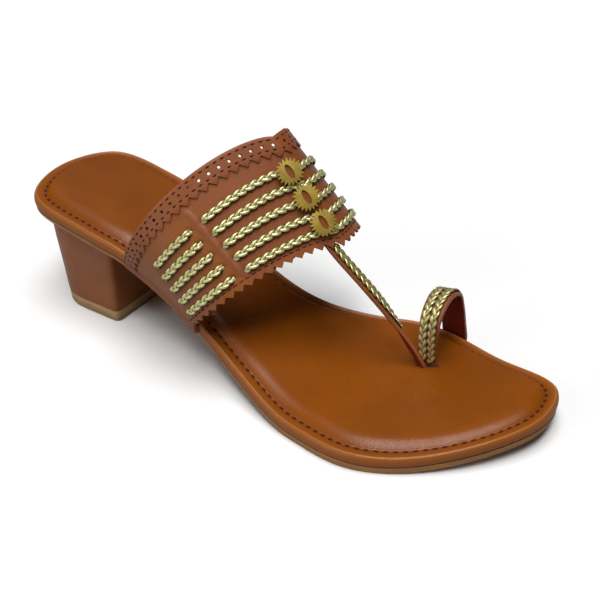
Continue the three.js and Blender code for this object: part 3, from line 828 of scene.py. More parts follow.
def braid(name, base, up, widths, height, period):
    """Three strands plaited over a dark tube along a base line, dipping into the leather at both ends; the
    tube stands in for the shade between the strands, which get painted shade where low and underneath.
    """
    run = run_lengths(base)
    total = run[-1]
    at = np.linspace(0, total, int(total / BRAID_STEP) + 1)
    line = np.stack([np.interp(at, run, axis) for axis in base.T], axis=1)
    normal = unit(np.stack([np.interp(at, run, axis) for axis in up.T], axis=1))
    side = unit(np.cross(normal, np.gradient(line, axis=0)))
    inside = smooth(0, BRAID_DIVE, np.minimum(at, total - at))
    wide = np.interp(at, run, np.broadcast_to(widths, run.shape))
    half_strand, strand_height = 0.5 * STRAND_WIDTH * wide, STRAND_HEIGHT * height
    swing = (wide / 2 - half_strand) * lerp(BRAID_END_SHARE, 1, inside)
    weave = (height - strand_height) / 2 * lerp(BRAID_END_SHARE, 1, inside)
    lift = height / 2 - (1 - inside) * height * BRAID_END_DROP
    # A dark tube under the strands, painted full shade, stands in for the shade between them
    shade_core = line + normal * (lift - CORE_DROP * height)[:, None]
    strands = [strand(f"{name}_core", shade_core, side, normal, CORE_SIZE[0] * wide, CORE_SIZE[1] * height,
                      CORE_SIDES, lambda u, k: np.ones(len(u)))]
    for number in range(3):
        phase = 2 * math.pi * (at / period + number / 3)
        sideways, over = swing * np.sin(phase), lift + weave * np.sin(2 * phase)
        middle = line + side * sideways[:, None] + normal * over[:, None]
        along = unit(np.gradient(middle, axis=0))
        across = unit(np.cross(normal, along))
        above = np.cross(along, across)

        # Painted shade: darker where the strand lies low under the others and on its underside
        def cavity(u, k):
            lowness = 0.5 - 0.5 * np.sin(2 * phase[k])
            under = 0.5 - 0.5 * np.sin(2 * math.pi * u)
            dark = DARK_LOW[0] * lowness ** DARK_LOW[1] + DARK_UNDER[0] * under ** DARK_UNDER[1]
            return np.clip(dark - DARK_FROM, 0, 1)

        strands.append(strand(f"{name}_strand_{number}", middle, across, above, half_strand,
                              strand_height / 2, STRAND_SIDES, cavity))
    return joined(name, strands)


def feed(tree, slot, value):
    """Link a socket to an input, or set the input's own value."""
    if isinstance(value, bpy.types.NodeSocket):
        tree.links.new(value, slot)
    else:
        slot.default_value = value


def new_node(tree, kind, **values):
    """Shader node with its properties set, and its inputs fed, by name."""
    node = tree.nodes.new(kind)
    for key, value in values.items():
        if key in node.inputs:
            feed(tree, node.inputs[key], value)
        else:
            setattr(node, key, value)
    return node


def noise(tree, place, scale, detail=2.0, roughness=0.5):
    settings = {"Scale": scale, "Detail": detail, "Roughness": roughness}
    return new_node(tree, "ShaderNodeTexNoise", Vector=place, **settings).outputs["Fac"]


def calculated(tree, operation, *values):
    """Result of a sum on sockets or numbers."""
    node = new_node(tree, "ShaderNodeMath", operation=operation)
    for slot, value in zip(node.inputs, values):
        feed(tree, slot, value)
    return node.outputs[0]


def ranged(tree, socket, low, high, start=0.0, end=1.0):
    """Socket's values from low to high spread over start to end."""
    spans = {"From Min": low, "From Max": high, "To Min": start, "To Max": end}
    return new_node(tree, "ShaderNodeMapRange", Value=socket, **spans).outputs["Result"]


def mixed(tree, factor, first, second):
    """Colour mix of two sockets or colours by a socket."""
    mix = new_node(tree, "ShaderNodeMix", data_type="RGBA")
    tree.links.new(factor, next(s for s in mix.inputs if s.name == "Factor" and s.type == "VALUE"))
    for name, value in (("A", first), ("B", second)):
        slot = next(s for s in mix.inputs if s.name == name and s.type == "RGBA")
        feed(tree, slot, value if isinstance(value, bpy.types.NodeSocket) else (*value, 1))
    return next(s for s in mix.outputs if s.type == "RGBA")


def scaled(colour, factor):
    return tuple(min(channel * factor, 1) for channel in colour)


def toned(tree, value, colour, dark, light, low=0.3, high=0.7):
    """Colour that goes from darker to lighter as a value goes from low to high."""
    return mixed(tree, ranged(tree, value, low, high), scaled(colour, dark), scaled(colour, light))


def mask_value(tree, name):
    return new_node(tree, "ShaderNodeAttribute", attribute_name=name).outputs["Fac"]


def leather_grain_group():
    """Fine creased grain as a height, and slow and quick changes of tone."""
    name = "Leather grain"
    if name in bpy.data.node_groups:
        return bpy.data.node_groups[name]
    group = bpy.data.node_groups.new(name, "ShaderNodeTree")
    group.interface.new_socket("Vector", in_out="INPUT", socket_type="NodeSocketVector")
    for socket in ("Grain Scale", "Tone Scale"):
        group.interface.new_socket(socket, in_out="INPUT", socket_type="NodeSocketFloat")
    for socket in ("Height", "Tone", "Mottle"):
        group.interface.new_socket(socket, in_out="OUTPUT", socket_type="NodeSocketFloat")
    start, end = group.nodes.new("NodeGroupInput"), group.nodes.new("NodeGroupOutput")
    place, grain, tone = (start.outputs[socket] for socket in ("Vector", "Grain Scale", "Tone Scale"))
    cells = new_node(group, "ShaderNodeTexVoronoi", feature="DISTANCE_TO_EDGE", Vector=place, Scale=grain,
                     Randomness=0.9)
    ridge = ranged(group, cells.outputs["Distance"], 0, 0.25)
    wrinkle = noise(group, place, calculated(group, "MULTIPLY", grain, 0.45), 4.0, 0.6)
    feed(group, end.inputs["Height"], calculated(group, "MULTIPLY_ADD", ridge, 0.6, wrinkle))
    feed(group, end.inputs["Tone"], noise(group, place, tone))
    quick = calculated(group, "MULTIPLY", tone, 7.0)
    feed(group, end.inputs["Mottle"], noise(group, place, quick, 3.0, 0.6))
    return group


def grained(tree, place, grain, tone=28.0):
    """Height, slow tone and quick mottle of grained leather."""
    scales = {"Grain Scale": grain, "Tone Scale": tone}
    texture = new_node(tree, "ShaderNodeGroup", node_tree=leather_grain_group(), Vector=place, **scales)
    return (texture.outputs[name] for name in ("Height", "Tone", "Mottle"))


def finish(name, **plain):
    """New material with plain values on its shader, its tree, its shader and the places on its piece."""
    material = bpy.data.materials.new(name)
    material.use_nodes = True
    tree = material.node_tree
    shader = tree.nodes["Principled BSDF"]
    for key, value in plain.items():
        shader.inputs[key].default_value = value
    return material, tree, shader, new_node(tree, "ShaderNodeTexCoord").outputs["Object"]


def painted(tree, shader, paint, roughness=None, height=None, strength=0.0, distance=0.0):
    """Feed a shader its colour and, where given, its roughness and its relief."""
    feed(tree, shader.inputs["Base Color"], paint)
    if roughness is not None:
        feed(tree, shader.inputs["Roughness"], roughness)
    if height is not None:
        relief = new_node(tree, "ShaderNodeBump", Strength=strength, Distance=distance, Height=height)
        feed(tree, shader.inputs["Normal"], relief.outputs["Normal"])


def leather(name, colour, roughness=0.42, coat=0.2, gloss=0.35, grain=1100.0, bump=0.25, masks=()):
    """Smooth dyed leather; each mask (attribute, colour, strength) is painted over it where it is high."""
    plain = {"Specular IOR Level": gloss, "Coat Weight": coat, "Coat Roughness": 0.28}
    material, tree, shader, place = finish(name, **plain)
    height, tone, mottle = grained(tree, place, grain)
    paint = toned(tree, tone, colour, 0.84, 1.16)
    paint = mixed(tree, ranged(tree, mottle, 0.35, 0.65, 0.0, 0.35), paint, scaled(colour, 0.82))
    for attribute, over, strength in masks:
        paint = mixed(tree, ranged(tree, mask_value(tree, attribute), 0, 1, 0, strength), paint, over)
    rough = ranged(tree, mottle, 0.3, 0.7, roughness - 0.06, roughness + 0.08)
    painted(tree, shader, paint, rough, height, bump, 0.00025)
    return material


def raw_edge(name, colour):
    """Cut edge of leather: matt, fibrous and lighter than its face."""
    material, tree, shader, place = finish(name, Roughness=0.75)
    fibre = noise(tree, place, 900.0, 5.0, 0.7)
    painted(tree, shader, toned(tree, fibre, colour, 0.7, 1.2), None, fibre, 0.5, 0.0003)
    return material


def sole_material(name, colour):
    """Stacked-look sole: fine level lines and a dusty, matt face."""
    material, tree, shader, place = finish(name)
    stretch = new_node(tree, "ShaderNodeMapping", Vector=place, Scale=(60.0, 60.0, 900.0))
    lines = noise(tree, stretch.outputs["Vector"], 1.0, 3.0, 0.6)
    specks = noise(tree, place, 700.0, 4.0, 0.7)
    layer = toned(tree, lines, colour, 0.78, 1.15)
    paint = mixed(tree, ranged(tree, specks, 0.45, 0.75, 0, 0.35), layer, scaled(colour, 0.6))
    painted(tree, shader, paint, ranged(tree, specks, 0.3, 0.7, 0.5, 0.75), specks, 0.25, 0.0003)
    return material


def braid_material(name, bright, shadow):
    """Metallic foil strips, with painted shade where one strand dives under the next and on the strands'
    undersides.
    """
    material, tree, shader, place = finish(name, Metallic=0.72)
    foil = noise(tree, place, 900.0)
    deep = ranged(tree, mask_value(tree, "cavity"), 0.15, 0.85)
    paint = mixed(tree, deep, toned(tree, foil, bright, 0.85, 1.1), shadow)
    painted(tree, shader, paint, ranged(tree, foil, 0.3, 0.7, 0.3, 0.46), foil, 0.08, 0.0002)
    return material


def gold_leather(name, colour):
    """Matt metallic leather with a fine grain and paler high spots."""
    material, tree, shader, place = finish(name, Metallic=0.35)
    height, tone, mottle = grained(tree, place, 1500.0, 160.0)
    rough = ranged(tree, mottle, 0.3, 0.7, 0.42, 0.6)
    painted(tree, shader, toned(tree, tone, colour, 0.8, 1.2), rough, height, 0.3, 0.0002)
    return material


def thread_material(name, colour):
    """Waxed thread with a fine twist."""
    material, tree, shader, place = finish(name, Roughness=0.8, **{"Specular IOR Level": 0.1})
    painted(tree, shader, toned(tree, noise(tree, place, 2500.0), colour, 0.7, 1.3, 0.35, 0.65))
    return material


def floor_material(name, colour):
    """Plain pale studio floor, which throws less light back than it shows."""
    material, tree, shader, place = finish(name, Roughness=0.8, **{"Specular IOR Level": 0.2})
    seen = mixed(tree, noise(tree, place, 3.0), scaled(colour, 0.985), colour)
    ray = new_node(tree, "ShaderNodeLightPath").outputs["Is Camera Ray"]
    painted(tree, shader, mixed(tree, ray, scaled(colour, 0.4), seen))
    return material


def colour_property(name, description, default):
    return FloatVectorProperty(
        name=name, description=description, subtype="COLOR", size=3, min=0.0, max=1.0, default=default
    )


def length_property(name, description, default):
    return FloatProperty(
        name=name, description=description, subtype="DISTANCE", unit="LENGTH", min=0.0, default=default * MM
    )


def light_property(name, description, default):
    words = f"Strength of the light {description}"
    return FloatProperty(name=name, description=words, min=0.0, default=default)


class SandalLeather(PropertyGroup):
    """Colours of the leather pieces."""

    band: colour_property("Band", "Face of the instep band and its trim", (0.30, 0.088, 0.027))
    # Painted sheen: the side strips are coloured a little more orange than the top panel, standing in for
    # the weaker sheen they catch beyond the fold; the medallions' backing takes it as its own colour
    strip: colour_property("Strip", "Side strips of the instep band", (0.30, 0.092, 0.016))
    footbed: colour_property("Footbed", "Padded footbed", (0.225, 0.056, 0.002))
    rim: colour_property("Rim", "Rolled rim of the footbed", (0.31, 0.092, 0.012))
    # Painted highlight: a paler colour along the top edge of the rim, standing in for the light its glossy
    # edge catches, not for rubbing
    crest: colour_property("Crest", "Rubbed crest of the footbed's rim", (0.5, 0.21, 0.085))
    heel: colour_property("Heel", "Covering of the block heel", (0.295, 0.088, 0.018))
    lining: colour_property("Lining", "Inside of the band and the toe loop", (0.17, 0.012, 0.004))
    cut_edge: colour_property("Cut edge", "Raw edges of the pinked leather", (0.36, 0.12, 0.042))
    # Painted shade: this dark colour goes where shade falls, in the footbed's stitched groove, round the
    # cords' pits and the punched holes, and on the slit's dark piece; it is not burnished leather
    groove: colour_property("Groove", "Burnished leather in grooves and round holes", (0.07, 0.018, 0.006))


class SandalTrim(PropertyGroup):
    """Braids, medallions, stitches and punched holes."""

    braid: colour_property("Braid", "Bright side of the gold cords", (0.85, 0.80, 0.40))
    toe_braid: colour_property("Toe braid", "Bright side of the toe's darker braids", (0.60, 0.53, 0.235))
    braid_shadow: colour_property("Braid shadow", "Gold braid where strands dive", (0.04, 0.046, 0.006))
    medallion: colour_property("Medallion", "Toothed gold medallions", (0.40, 0.275, 0.04))
    thread: colour_property("Thread", "Stitching thread", (0.07, 0.011, 0.004))
    cord_period: length_property("Cord period", "Length in which a cord's strand returns to its side", 12.0)
    strap_period: length_property("Strap period", "The same length for the toe strap's braid", 10.0)
    loop_period: length_property("Loop period", "The same length for the toe loop's braids", 10.5)
    cord_width: length_property("Cord width", "Width of the braided cords on the band", 3.4)
    hole: length_property("Hole", "Diameter of the holes punched in the collar trim", 1.3)
    hole_pitch: length_property("Hole pitch", "Distance between holes and teeth of the collar trim", 4.9)
    stitch_pitch: length_property("Stitch pitch", "Distance between the footbed's stitches", 4.0)
    stitch_length: length_property("Stitch length", "Length of one footbed stitch", 2.4)


class SandalSole(PropertyGroup):
    """Colours of outsole and heel top piece."""

    colour: colour_property("Sole", "Tan outsole", (0.40, 0.18, 0.055))
    lift: colour_property("Top piece", "Paler heel top piece", (0.45, 0.27, 0.12))


class SandalStage(PropertyGroup):
    """Floor, light and camera."""

    floor: colour_property("Floor", "Plain pale floor", (0.93, 0.93, 0.93))
    overhead: light_property("Overhead light", "from above", 2.35)
    key: light_property("Key light", "over the toe", 0.9)
    fill: light_property("Fill light", "from the outer side", 0.68)
    back: light_property("Back light", "from behind the heel", 0.12)
    lens: FloatProperty(name="Lens", description="Focal length of the camera", unit="CAMERA", default=69.0)


def dressed(piece, materials, degrees, slot, *nodes):
    """Finish a piece, ride it on the sandal and hide the parts it stands in for; slot is not used."""
    for material in materials:
        piece.data.materials.append(material)
    only(piece)
    bpy.ops.object.shade_smooth_by_angle(angle=math.radians(degrees))
    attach(piece, BODY)
    if nodes:
        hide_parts(*nodes)
    return piece


def material_once(name, make, *values, **settings):
    """The named material, made on first use."""
    return bpy.data.materials.get(name) or make(name, *values, **settings)


def braid_finish(name, bright):
    return material_once(name, braid_material, bright, bpy.context.scene.sandal_trim.braid_shadow)


def band_finish(tones):
    # The strip mask paints the side strips' weaker sheen as colour, and the other mask paints shade round
    # the cords' pits and the punched holes
    masks = [("strip", tones.strip, 0.7), ("pit", tones.groove, 0.85)]
    return material_once("band leather", leather, tones.band, masks=masks)


def lining_finish(tones):
    return material_once("lining leather", leather, tones.lining, roughness=0.6, coat=0.0)


def edge_finish(tones):
    return material_once("cut edge", raw_edge, tones.cut_edge)


class SANDAL_OT_outsole(Operator):
    """Thin tan outsole that follows the arch from heel to toe"""

    bl_idname = "sandal.outsole"
    bl_label = "Outsole"

    def execute(self, context):
        turns = np.linspace(0, math.pi / 2, SOLE_TURNS)
        rows = [(SOLE_ROUND * (1 - math.sin(a)), SOLE_ROUND * (1 - math.cos(a)), 0) for a in turns]
        rows += [(0, SOLE_ROUND * (1 - share), share) for share in SOLE_SIDE_SHARES]
        rows += [(SOLE_TOP_INSET, 0, 1)]
        rings, rows = carried_across([outline_ring(SOLE_INSET + row[0]) for row in rows], rows)
        _, lifts, shares = rows.T[:, :, None]
        low = sole_underside(rings[..., 0]) + lifts
        high = bed_underside(rings[..., 0]) - SEAT_GAP
        piece = laid_rings("outsole_leather", rings, lerp(low, high, shares))
        tan = material_once("sole tan", sole_material, context.scene.sandal_sole.colour)
        dressed(piece, [tan], 50, "sole_tan", "outsole")
        return {"FINISHED"}


class SANDAL_OT_heel(Operator):
    """Leather-covered block heel and its tan top piece"""

    bl_idname = "sandal.heel"
    bl_label = "Heel"

    def execute(self, context):
        scene = context.scene
        low, high = TOP_PIECE_HEIGHT, HEEL_LEVELS[-1][0]
        rising = [(share, 0) for share in np.arange(1, HEEL_ROWS + 1) / HEEL_ROWS]
        shares, insets = np.array(HEEL_EDGE + rising).T
        rings = heel_rings(lerp(low, high, shares), insets)
        seat = sole_underside(rings[..., 0]) - SEAT_GAP
        block = laid_rings("heel_cover", rings, lerp(low, seat, shares[:, None]))
        cover = material_once("heel leather", leather, scene.sandal_leather.heel, roughness=0.4, coat=0.15,
                              grain=1400.0, bump=0.18)
        dressed(block, [cover], 50, "heel_leather", "heel_block")
        levels, insets = np.array(TOP_PIECE_ROWS).T
        rings = heel_rings(levels, insets)
        lift = laid_rings("heel_lift", rings, np.broadcast_to(levels[:, None], rings.shape[:2]))
        tan = material_once("top piece tan", sole_material, scene.sandal_sole.lift)
        dressed(lift, [tan], 50, "sole_tan", "heel_top_piece")
        return {"FINISHED"}


class SANDAL_OT_footbed(Operator):
    """Padded footbed with its rolled rim, stitched groove and pillow"""

    bl_idname = "sandal.footbed"
    bl_label = "Footbed"

    def execute(self, context):
        profile = through(BED_RIM, RIM_STEPS)
        rings = [outline_ring(self.shoulder(inset)) for inset, _ in profile]
        rings, profile = carried_across(rings, profile)
        insets, lifts = profile.T
        masks = {
            # Painted shade in the stitched groove
            "groove": bell(insets, GROOVE_INSET, GROOVE_WIDTH),
            "rim": 1 - smooth(*RIM_FADE, insets),
            # Painted highlight along the top edge of the rim
            "crest": np.where(lifts > CREST_HIGHLIGHT_FROM, bell(insets, *CREST_HIGHLIGHT), 0),
        }
        heights = bed_underside(rings[..., 0]) + lifts[:, None]
        piece = laid_rings("footbed_padding", rings, heights, masks)
        tones = context.scene.sandal_leather
        # Over the footbed's own colour go painted shade in the groove, the rim's own colour and the painted
        # highlight on the rim's top edge
        over = [("groove", tones.groove, 0.2), ("rim", tones.rim, 0.9), ("crest", tones.crest, 0.5)]
        padding = material_once("footbed leather", leather, tones.footbed, roughness=0.3, coat=0.06,
                                gloss=0.28, masks=over)
        dressed(piece, [padding], 60, "footbed_leather", "footbed")
        return {"FINISHED"}

    @staticmethod
    def shoulder(inset):
        """Inset of a row round the outline: the pillow is soft at the toe and outside, firm elsewhere."""
        soft = lerp(FIRM_SHOULDER, 1, smooth(*SOFT_SPAN, RING_ALONG @ np.array(SOFT_WAY)))
        return np.where(inset > LEDGE, LEDGE + (inset - LEDGE) * soft, inset)[:, None]


class SANDAL_OT_band(Operator):
    """Instep band with tucked feet, pinked front edge, soft folds and lining"""

    bl_idname = "sandal.band"
    bl_label = "Instep Band"

    def execute(self, context):
        arch = BAND_TEETH * TOOTH_COLUMNS
        columns = arch + 2 * FOOT_COLUMNS
        pits = cord_pits()

        def sheet(u, v):
            """Arch position h, way down the foot and depth on the band."""
            column = np.round(u * columns) - FOOT_COLUMNS
            down = np.maximum(np.maximum(-column, column - arch), 0) / FOOT_COLUMNS * BAND_FOOT_LENGTH
            column = np.clip(column, 0, arch)
            tooth = 1 - np.abs(1 - np.mod(column / (TOOTH_COLUMNS / 2), 2))
            near_edge = np.clip((v - BAND_TOOTH_FROM) / (1 - BAND_TOOTH_FROM), 0, 1)
            return column / arch * 2 - 1, down, v - BAND_TOOTH_DEPTH * tooth * near_edge * (down == 0)

        # Painted shade round the pits where the cords go in; the same bell also sinks them
        def pit_mask(u, v):
            h, _, depth = sheet(u, v)
            points = on_band(h, depth, WALL / 2)
            nearest = np.sqrt(((points[:, None] - pits[None]) ** 2).sum(-1)).min(1)
            return bell(nearest, 0, PIT_WIDTH)

        def thinning(u, v):
            """Share of the wall that is pared away on the inside towards the pinked edge."""
            return PARED * smooth(*PARED_SPAN, v) * (sheet(u, v)[1] == 0)

        # Where the side strips' painted sheen colour goes: beyond the fold and below the trim
        def strip_mask(u, v):
            h, _, depth = sheet(u, v)
            beside, below = STRIP_COLOUR_SPANS
            return smooth(*beside, np.abs(h)) * smooth(*below, depth)

        def place(u, v):
            h, down, depth = sheet(u, v)
            relief = self.folds(h, depth) - PIT_DEPTH * pit_mask(u, v) + WALL / 2 * thinning(u, v)
            points = on_band(h, depth, relief)
            for half in (BAND_OUTER, BAND_INNER):
                mine = (down > 0) & (np.sign(h) == half.side)
                points[mine] = half.foot(down[mine], depth[mine])
            return points

        masks = {"pit": pit_mask, "strip": strip_mask, "pared": thinning}
        piece = shaped_grid("instep_band", columns, BAND_ROWS, place, masks)
        face_towards(piece, (0, 0, 1))
        pared = piece.vertex_groups.new(name="wall")
        for k, share in enumerate(piece.data.attributes["pared"].data):
            pared.add([k], 1 - share.value, "REPLACE")
        tones = context.scene.sandal_leather
        for material in (band_finish(tones), lining_finish(tones), edge_finish(tones)):
            piece.data.materials.append(material)
        apply_modifier(piece, "SOLIDIFY", thickness=WALL * MM, offset=0, material_offset=1,
                       material_offset_rim=2, vertex_group="wall")
        bevelled(piece, BAND_BEVEL, 55)
        self.punch(piece, context.scene.sandal_trim)
        dressed(piece, [], 50, "band_leather", "upper")
        return {"FINISHED"}

    @staticmethod
    def punch(piece, trim):
        """Punch the collar trim's row of holes through the band."""
        depth, _, cells = trim_cells(trim)
        h = band_side((np.arange(cells) + 0.5) / cells, depth)
        v = lerp(*TRIM_DEPTHS, TRIM_HOLES)
        bpy.ops.object.select_all(action="DESELECT")
        bpy.ops.mesh.primitive_cylinder_add(vertices=PIN_SIDES, radius=trim.hole / 2, depth=3 * WALL * MM)
        pins = scattered("pins", bpy.context.object, band_point(h, v), band_forward(h, v), band_normal(h, v))
        edit(pins, face_outwards)
        # The walls of the punched holes get full painted shade
        for mask, value in (("pit", 1), ("strip", 0), ("pared", 0)):
            set_mask(pins, mask, value)
        apply_modifier(piece, "BOOLEAN", operation="DIFFERENCE", solver="MANIFOLD", object=pins)
        bpy.data.objects.remove(pins)

    @staticmethod
    def folds(h, v):
        """Folds of the band: the top panel's raised edge, and each side strip a little lower than it."""
        away = np.abs(h)
        strip = smooth(*FOLD_DEPTHS[0], v) * (1 - smooth(*FOLD_DEPTHS[1], v))
        step = smooth(*STRIP_DROP_SPANS[0], away) * (1 - smooth(*STRIP_DROP_SPANS[1], away))
        return strip * (FOLD_HEIGHT * bell(away, *FOLD_AT) - STRIP_DROP * step)


class SANDAL_OT_collar_trim(Operator):
    """Collar trim with punched holes, pinked edge and two rows of stitches"""

    bl_idname = "sandal.collar_trim"
    bl_label = "Collar Trim"

    def execute(self, context):
        trim = context.scene.sandal_trim
        depth, length, cells = trim_cells(trim)
        corners, faces = self.cell(trim.hole / MM / 2, length / cells)
        along = (corners[None, :, 0] + np.arange(cells)[:, None] + 0.5) / cells
        across = np.broadcast_to(corners[None, :, 1], along.shape)
        v = TRIM_DEPTHS[0] + across * (TRIM_DEPTHS[1] - TRIM_DEPTHS[0])
        v = np.where(across > 1, TRIM_DEPTHS[1] + (across - 1) * TRIM_TOOTH, v)
        h = band_side(np.clip(along, 0, 1), depth)
        bottom, top = WALL / 2 + TRIM_GAP, WALL / 2 + TRIM_THICKNESS
        points = on_band(h.ravel(), v.ravel(), (bottom + top) / 2)
        piece = from_faces("collar_strip", points, copied_faces(faces, len(corners), cells))
        # Painted shade on the leather round each punched hole
        set_mask(piece, "pit", np.tile(np.arange(len(corners)) < HOLE_SIDES, cells))
        set_mask(piece, "strip", 0)
        edit(piece, merge_seam)
        face_towards(piece, (0, 0, 1))
        tones = context.scene.sandal_leather
        for material in (band_finish(tones), edge_finish(tones)):
            piece.data.materials.append(material)
        apply_modifier(piece, "SOLIDIFY", thickness=(top - bottom) * MM, offset=0, material_offset_rim=1)
        bevelled(piece, TRIM_BEVEL, 50)
        pit = piece.data.attributes["pit"].data
        for face in piece.data.polygons:
            if min(pit[i].value for i in face.vertices) > 0.5:
                face.material_index = 0
        dressed(piece, [], 45, "band_leather", "collar_trim")
        for edge, across in zip(("back", "front"), TRIM_STITCHES):
            at = lerp(*TRIM_DEPTHS, across)
            sewn_over_band(f"collar_stitches_{edge}", at, top, TRIM_STITCH_ROW, TRIM_STITCH)
        return {"FINISHED"}

    @staticmethod
    def cell(radius, pitch):
        """Corners (along, across) and faces of one repeat: plain leather, a punched hole and a tooth."""
        middle, reach = TRIM_HOLES, pitch / TRIM_WIDTH / 2
        angle = np.arange(HOLE_SIDES) * 2 * math.pi / HOLE_SIDES
        hole = np.column_stack([np.cos(angle) / pitch, np.sin(angle) / TRIM_WIDTH]) * radius
        lip = hole * TRIM_HOLE_LIP
        box = np.column_stack([np.cos(angle), np.sin(angle)])
        box = box / np.abs(box).max(axis=1, keepdims=True) * np.array([0.5, reach])
        rings = [hole, lip, (lip + box) / 2, box]
        corners = [ring + np.array([0, middle]) for ring in rings]
        faces = []
        for k in range(len(rings) - 1):
            inner, outer = k * HOLE_SIDES, (k + 1) * HOLE_SIDES
            for i in range(HOLE_SIDES):
                j = (i + 1) % HOLE_SIDES
                faces.append([inner + i, outer + i, outer + j, inner + j])
        columns = np.sort(np.unique(np.round(box[2:7, 0], 6)))
        last = (len(rings) - 1) * HOLE_SIDES
        lower = [last + i for i in (10, 11, 12, 13, 14)]
        upper = [last + i for i in (6, 5, 4, 3, 2)]
        start = len(rings) * HOLE_SIDES
        tooth = 1 - np.abs(columns) / 0.5
        plain = 0 * tooth
        back = [((middle - reach) / 2, plain), (0.0, plain)]
        front = [((1 + middle + reach) / 2, plain), (1.0, tooth)]
        extra = []
        for joint, levels, pinked in ((lower, back, False), (upper, front, True)):
            previous = joint
            for level, rise in levels:
                row = [start + len(extra) + i for i in range(5)]
                extra += [(x, level + r) for x, r in zip(columns, rise)]
                for i in range(4):
                    face = [previous[i], previous[i + 1], row[i + 1], row[i]]
                    faces.append(face if pinked else face[::-1])
                previous = row
        return np.vstack([*corners, np.array(extra)]), faces


class SANDAL_OT_cords(Operator):
    """Braided gold cords that run over the band and dive through it"""

    bl_idname = "sandal.cords"
    bl_label = "Braided Cords"

    def execute(self, context):
        trim = context.scene.sandal_trim
        width, period = trim.cord_width / MM, trim.cord_period / MM
        for row in range(CORD_ROWS):
            for run in CORD_RUNS:
                h = np.linspace(*cord_ends(row, run), CORD_POINTS)
                v = cord_depth(row, h)
                base = on_band(h, v, WALL / 2 + CORD_GAP)
                name = f"cord_{row + 1}_{run}"
                up = band_normal(h, v)
                piece = braid(f"{name}_strands", base, up, width, FIT_GAP + CORD_HEIGHT, period)
                dressed(piece, [braid_finish("gold cord", trim.braid)], 70, "gold_braid", name)
        return {"FINISHED"}


class SANDAL_OT_medallions(Operator):
    """Toothed gold medallions with a slit that shows brown leather"""

    bl_idname = "sandal.medallions"
    bl_label = "Medallions"

    def execute(self, context):
        scene = context.scene
        gold = material_once("gold leather", gold_leather, scene.sandal_trim.medallion)
        for number, depth in enumerate(MEDALLION_DEPTHS, 1):
            normal = band_normal(MEDALLION_SIDE, depth)
            forward = band_forward(MEDALLION_SIDE, depth)
            across = np.cross(normal, forward)
            seat = on_band(MEDALLION_SIDE, depth, MEDALLION_SEAT)

            def plate(angle, reach, height):
                ahead, aside = reach * np.cos(angle), reach * np.sin(angle)
                return seat + forward * ahead[:, None] + across * aside[:, None] + normal * height[:, None]

            def disc(u, v):
                angle = 2 * math.pi * u
                length, width = MEDALLION_SLIT
                slit = length * width / 2 / np.hypot(width * np.cos(angle), length * np.sin(angle))
                tooth = np.abs(1 - np.mod(u * MEDALLION_TEETH, 1) * 2)
                rim = MEDALLION_RADIUS - MEDALLION_TOOTH * (1 - tooth)
                reach = lerp(slit, rim, v)
                dome = MEDALLION_DOME[0] - MEDALLION_DOME[1] * (reach / MEDALLION_RADIUS) ** 2
                return plate(angle, reach, MEDALLION_THICKNESS / 2 + dome)

            def backing(u, v):
                height = np.full(len(u), MEDALLION_BACK["height"])
                return plate(2 * math.pi * u, MEDALLION_BACK["radius"] * v, height)

            name = f"medallion_disc_{number}"
            columns = MEDALLION_TEETH * MEDALLION_TOOTH_COLUMNS
            face = shaped_grid(name, columns, MEDALLION_ROWS, disc, seam=True)
            back = shaped_grid("medallion_back", *MEDALLION_BACK["grid"], backing, seam=True)
            for sheet, thickness in ((face, MEDALLION_WALL), (back, MEDALLION_BACK["thickness"])):
                face_towards(sheet, normal)
                apply_modifier(sheet, "SOLIDIFY", thickness=thickness * MM, offset=0)
            bevelled(face, MEDALLION_BEVEL, 50)
            # The backing under the slit gets a little painted shade, and the side strips' orange as its own
            # colour
            for sheet, pit, strip in ((face, 0.0, 0.0), (back, 0.2, 1.0)):
                set_mask(sheet, "pit", pit)
                set_mask(sheet, "strip", strip)
            face.data.materials.append(gold)
            back.data.materials.append(band_finish(scene.sandal_leather))
            dressed(joined(name, [face, back]), [], 40, "gold_leather", f"medallion_{number}")
        return {"FINISHED"}


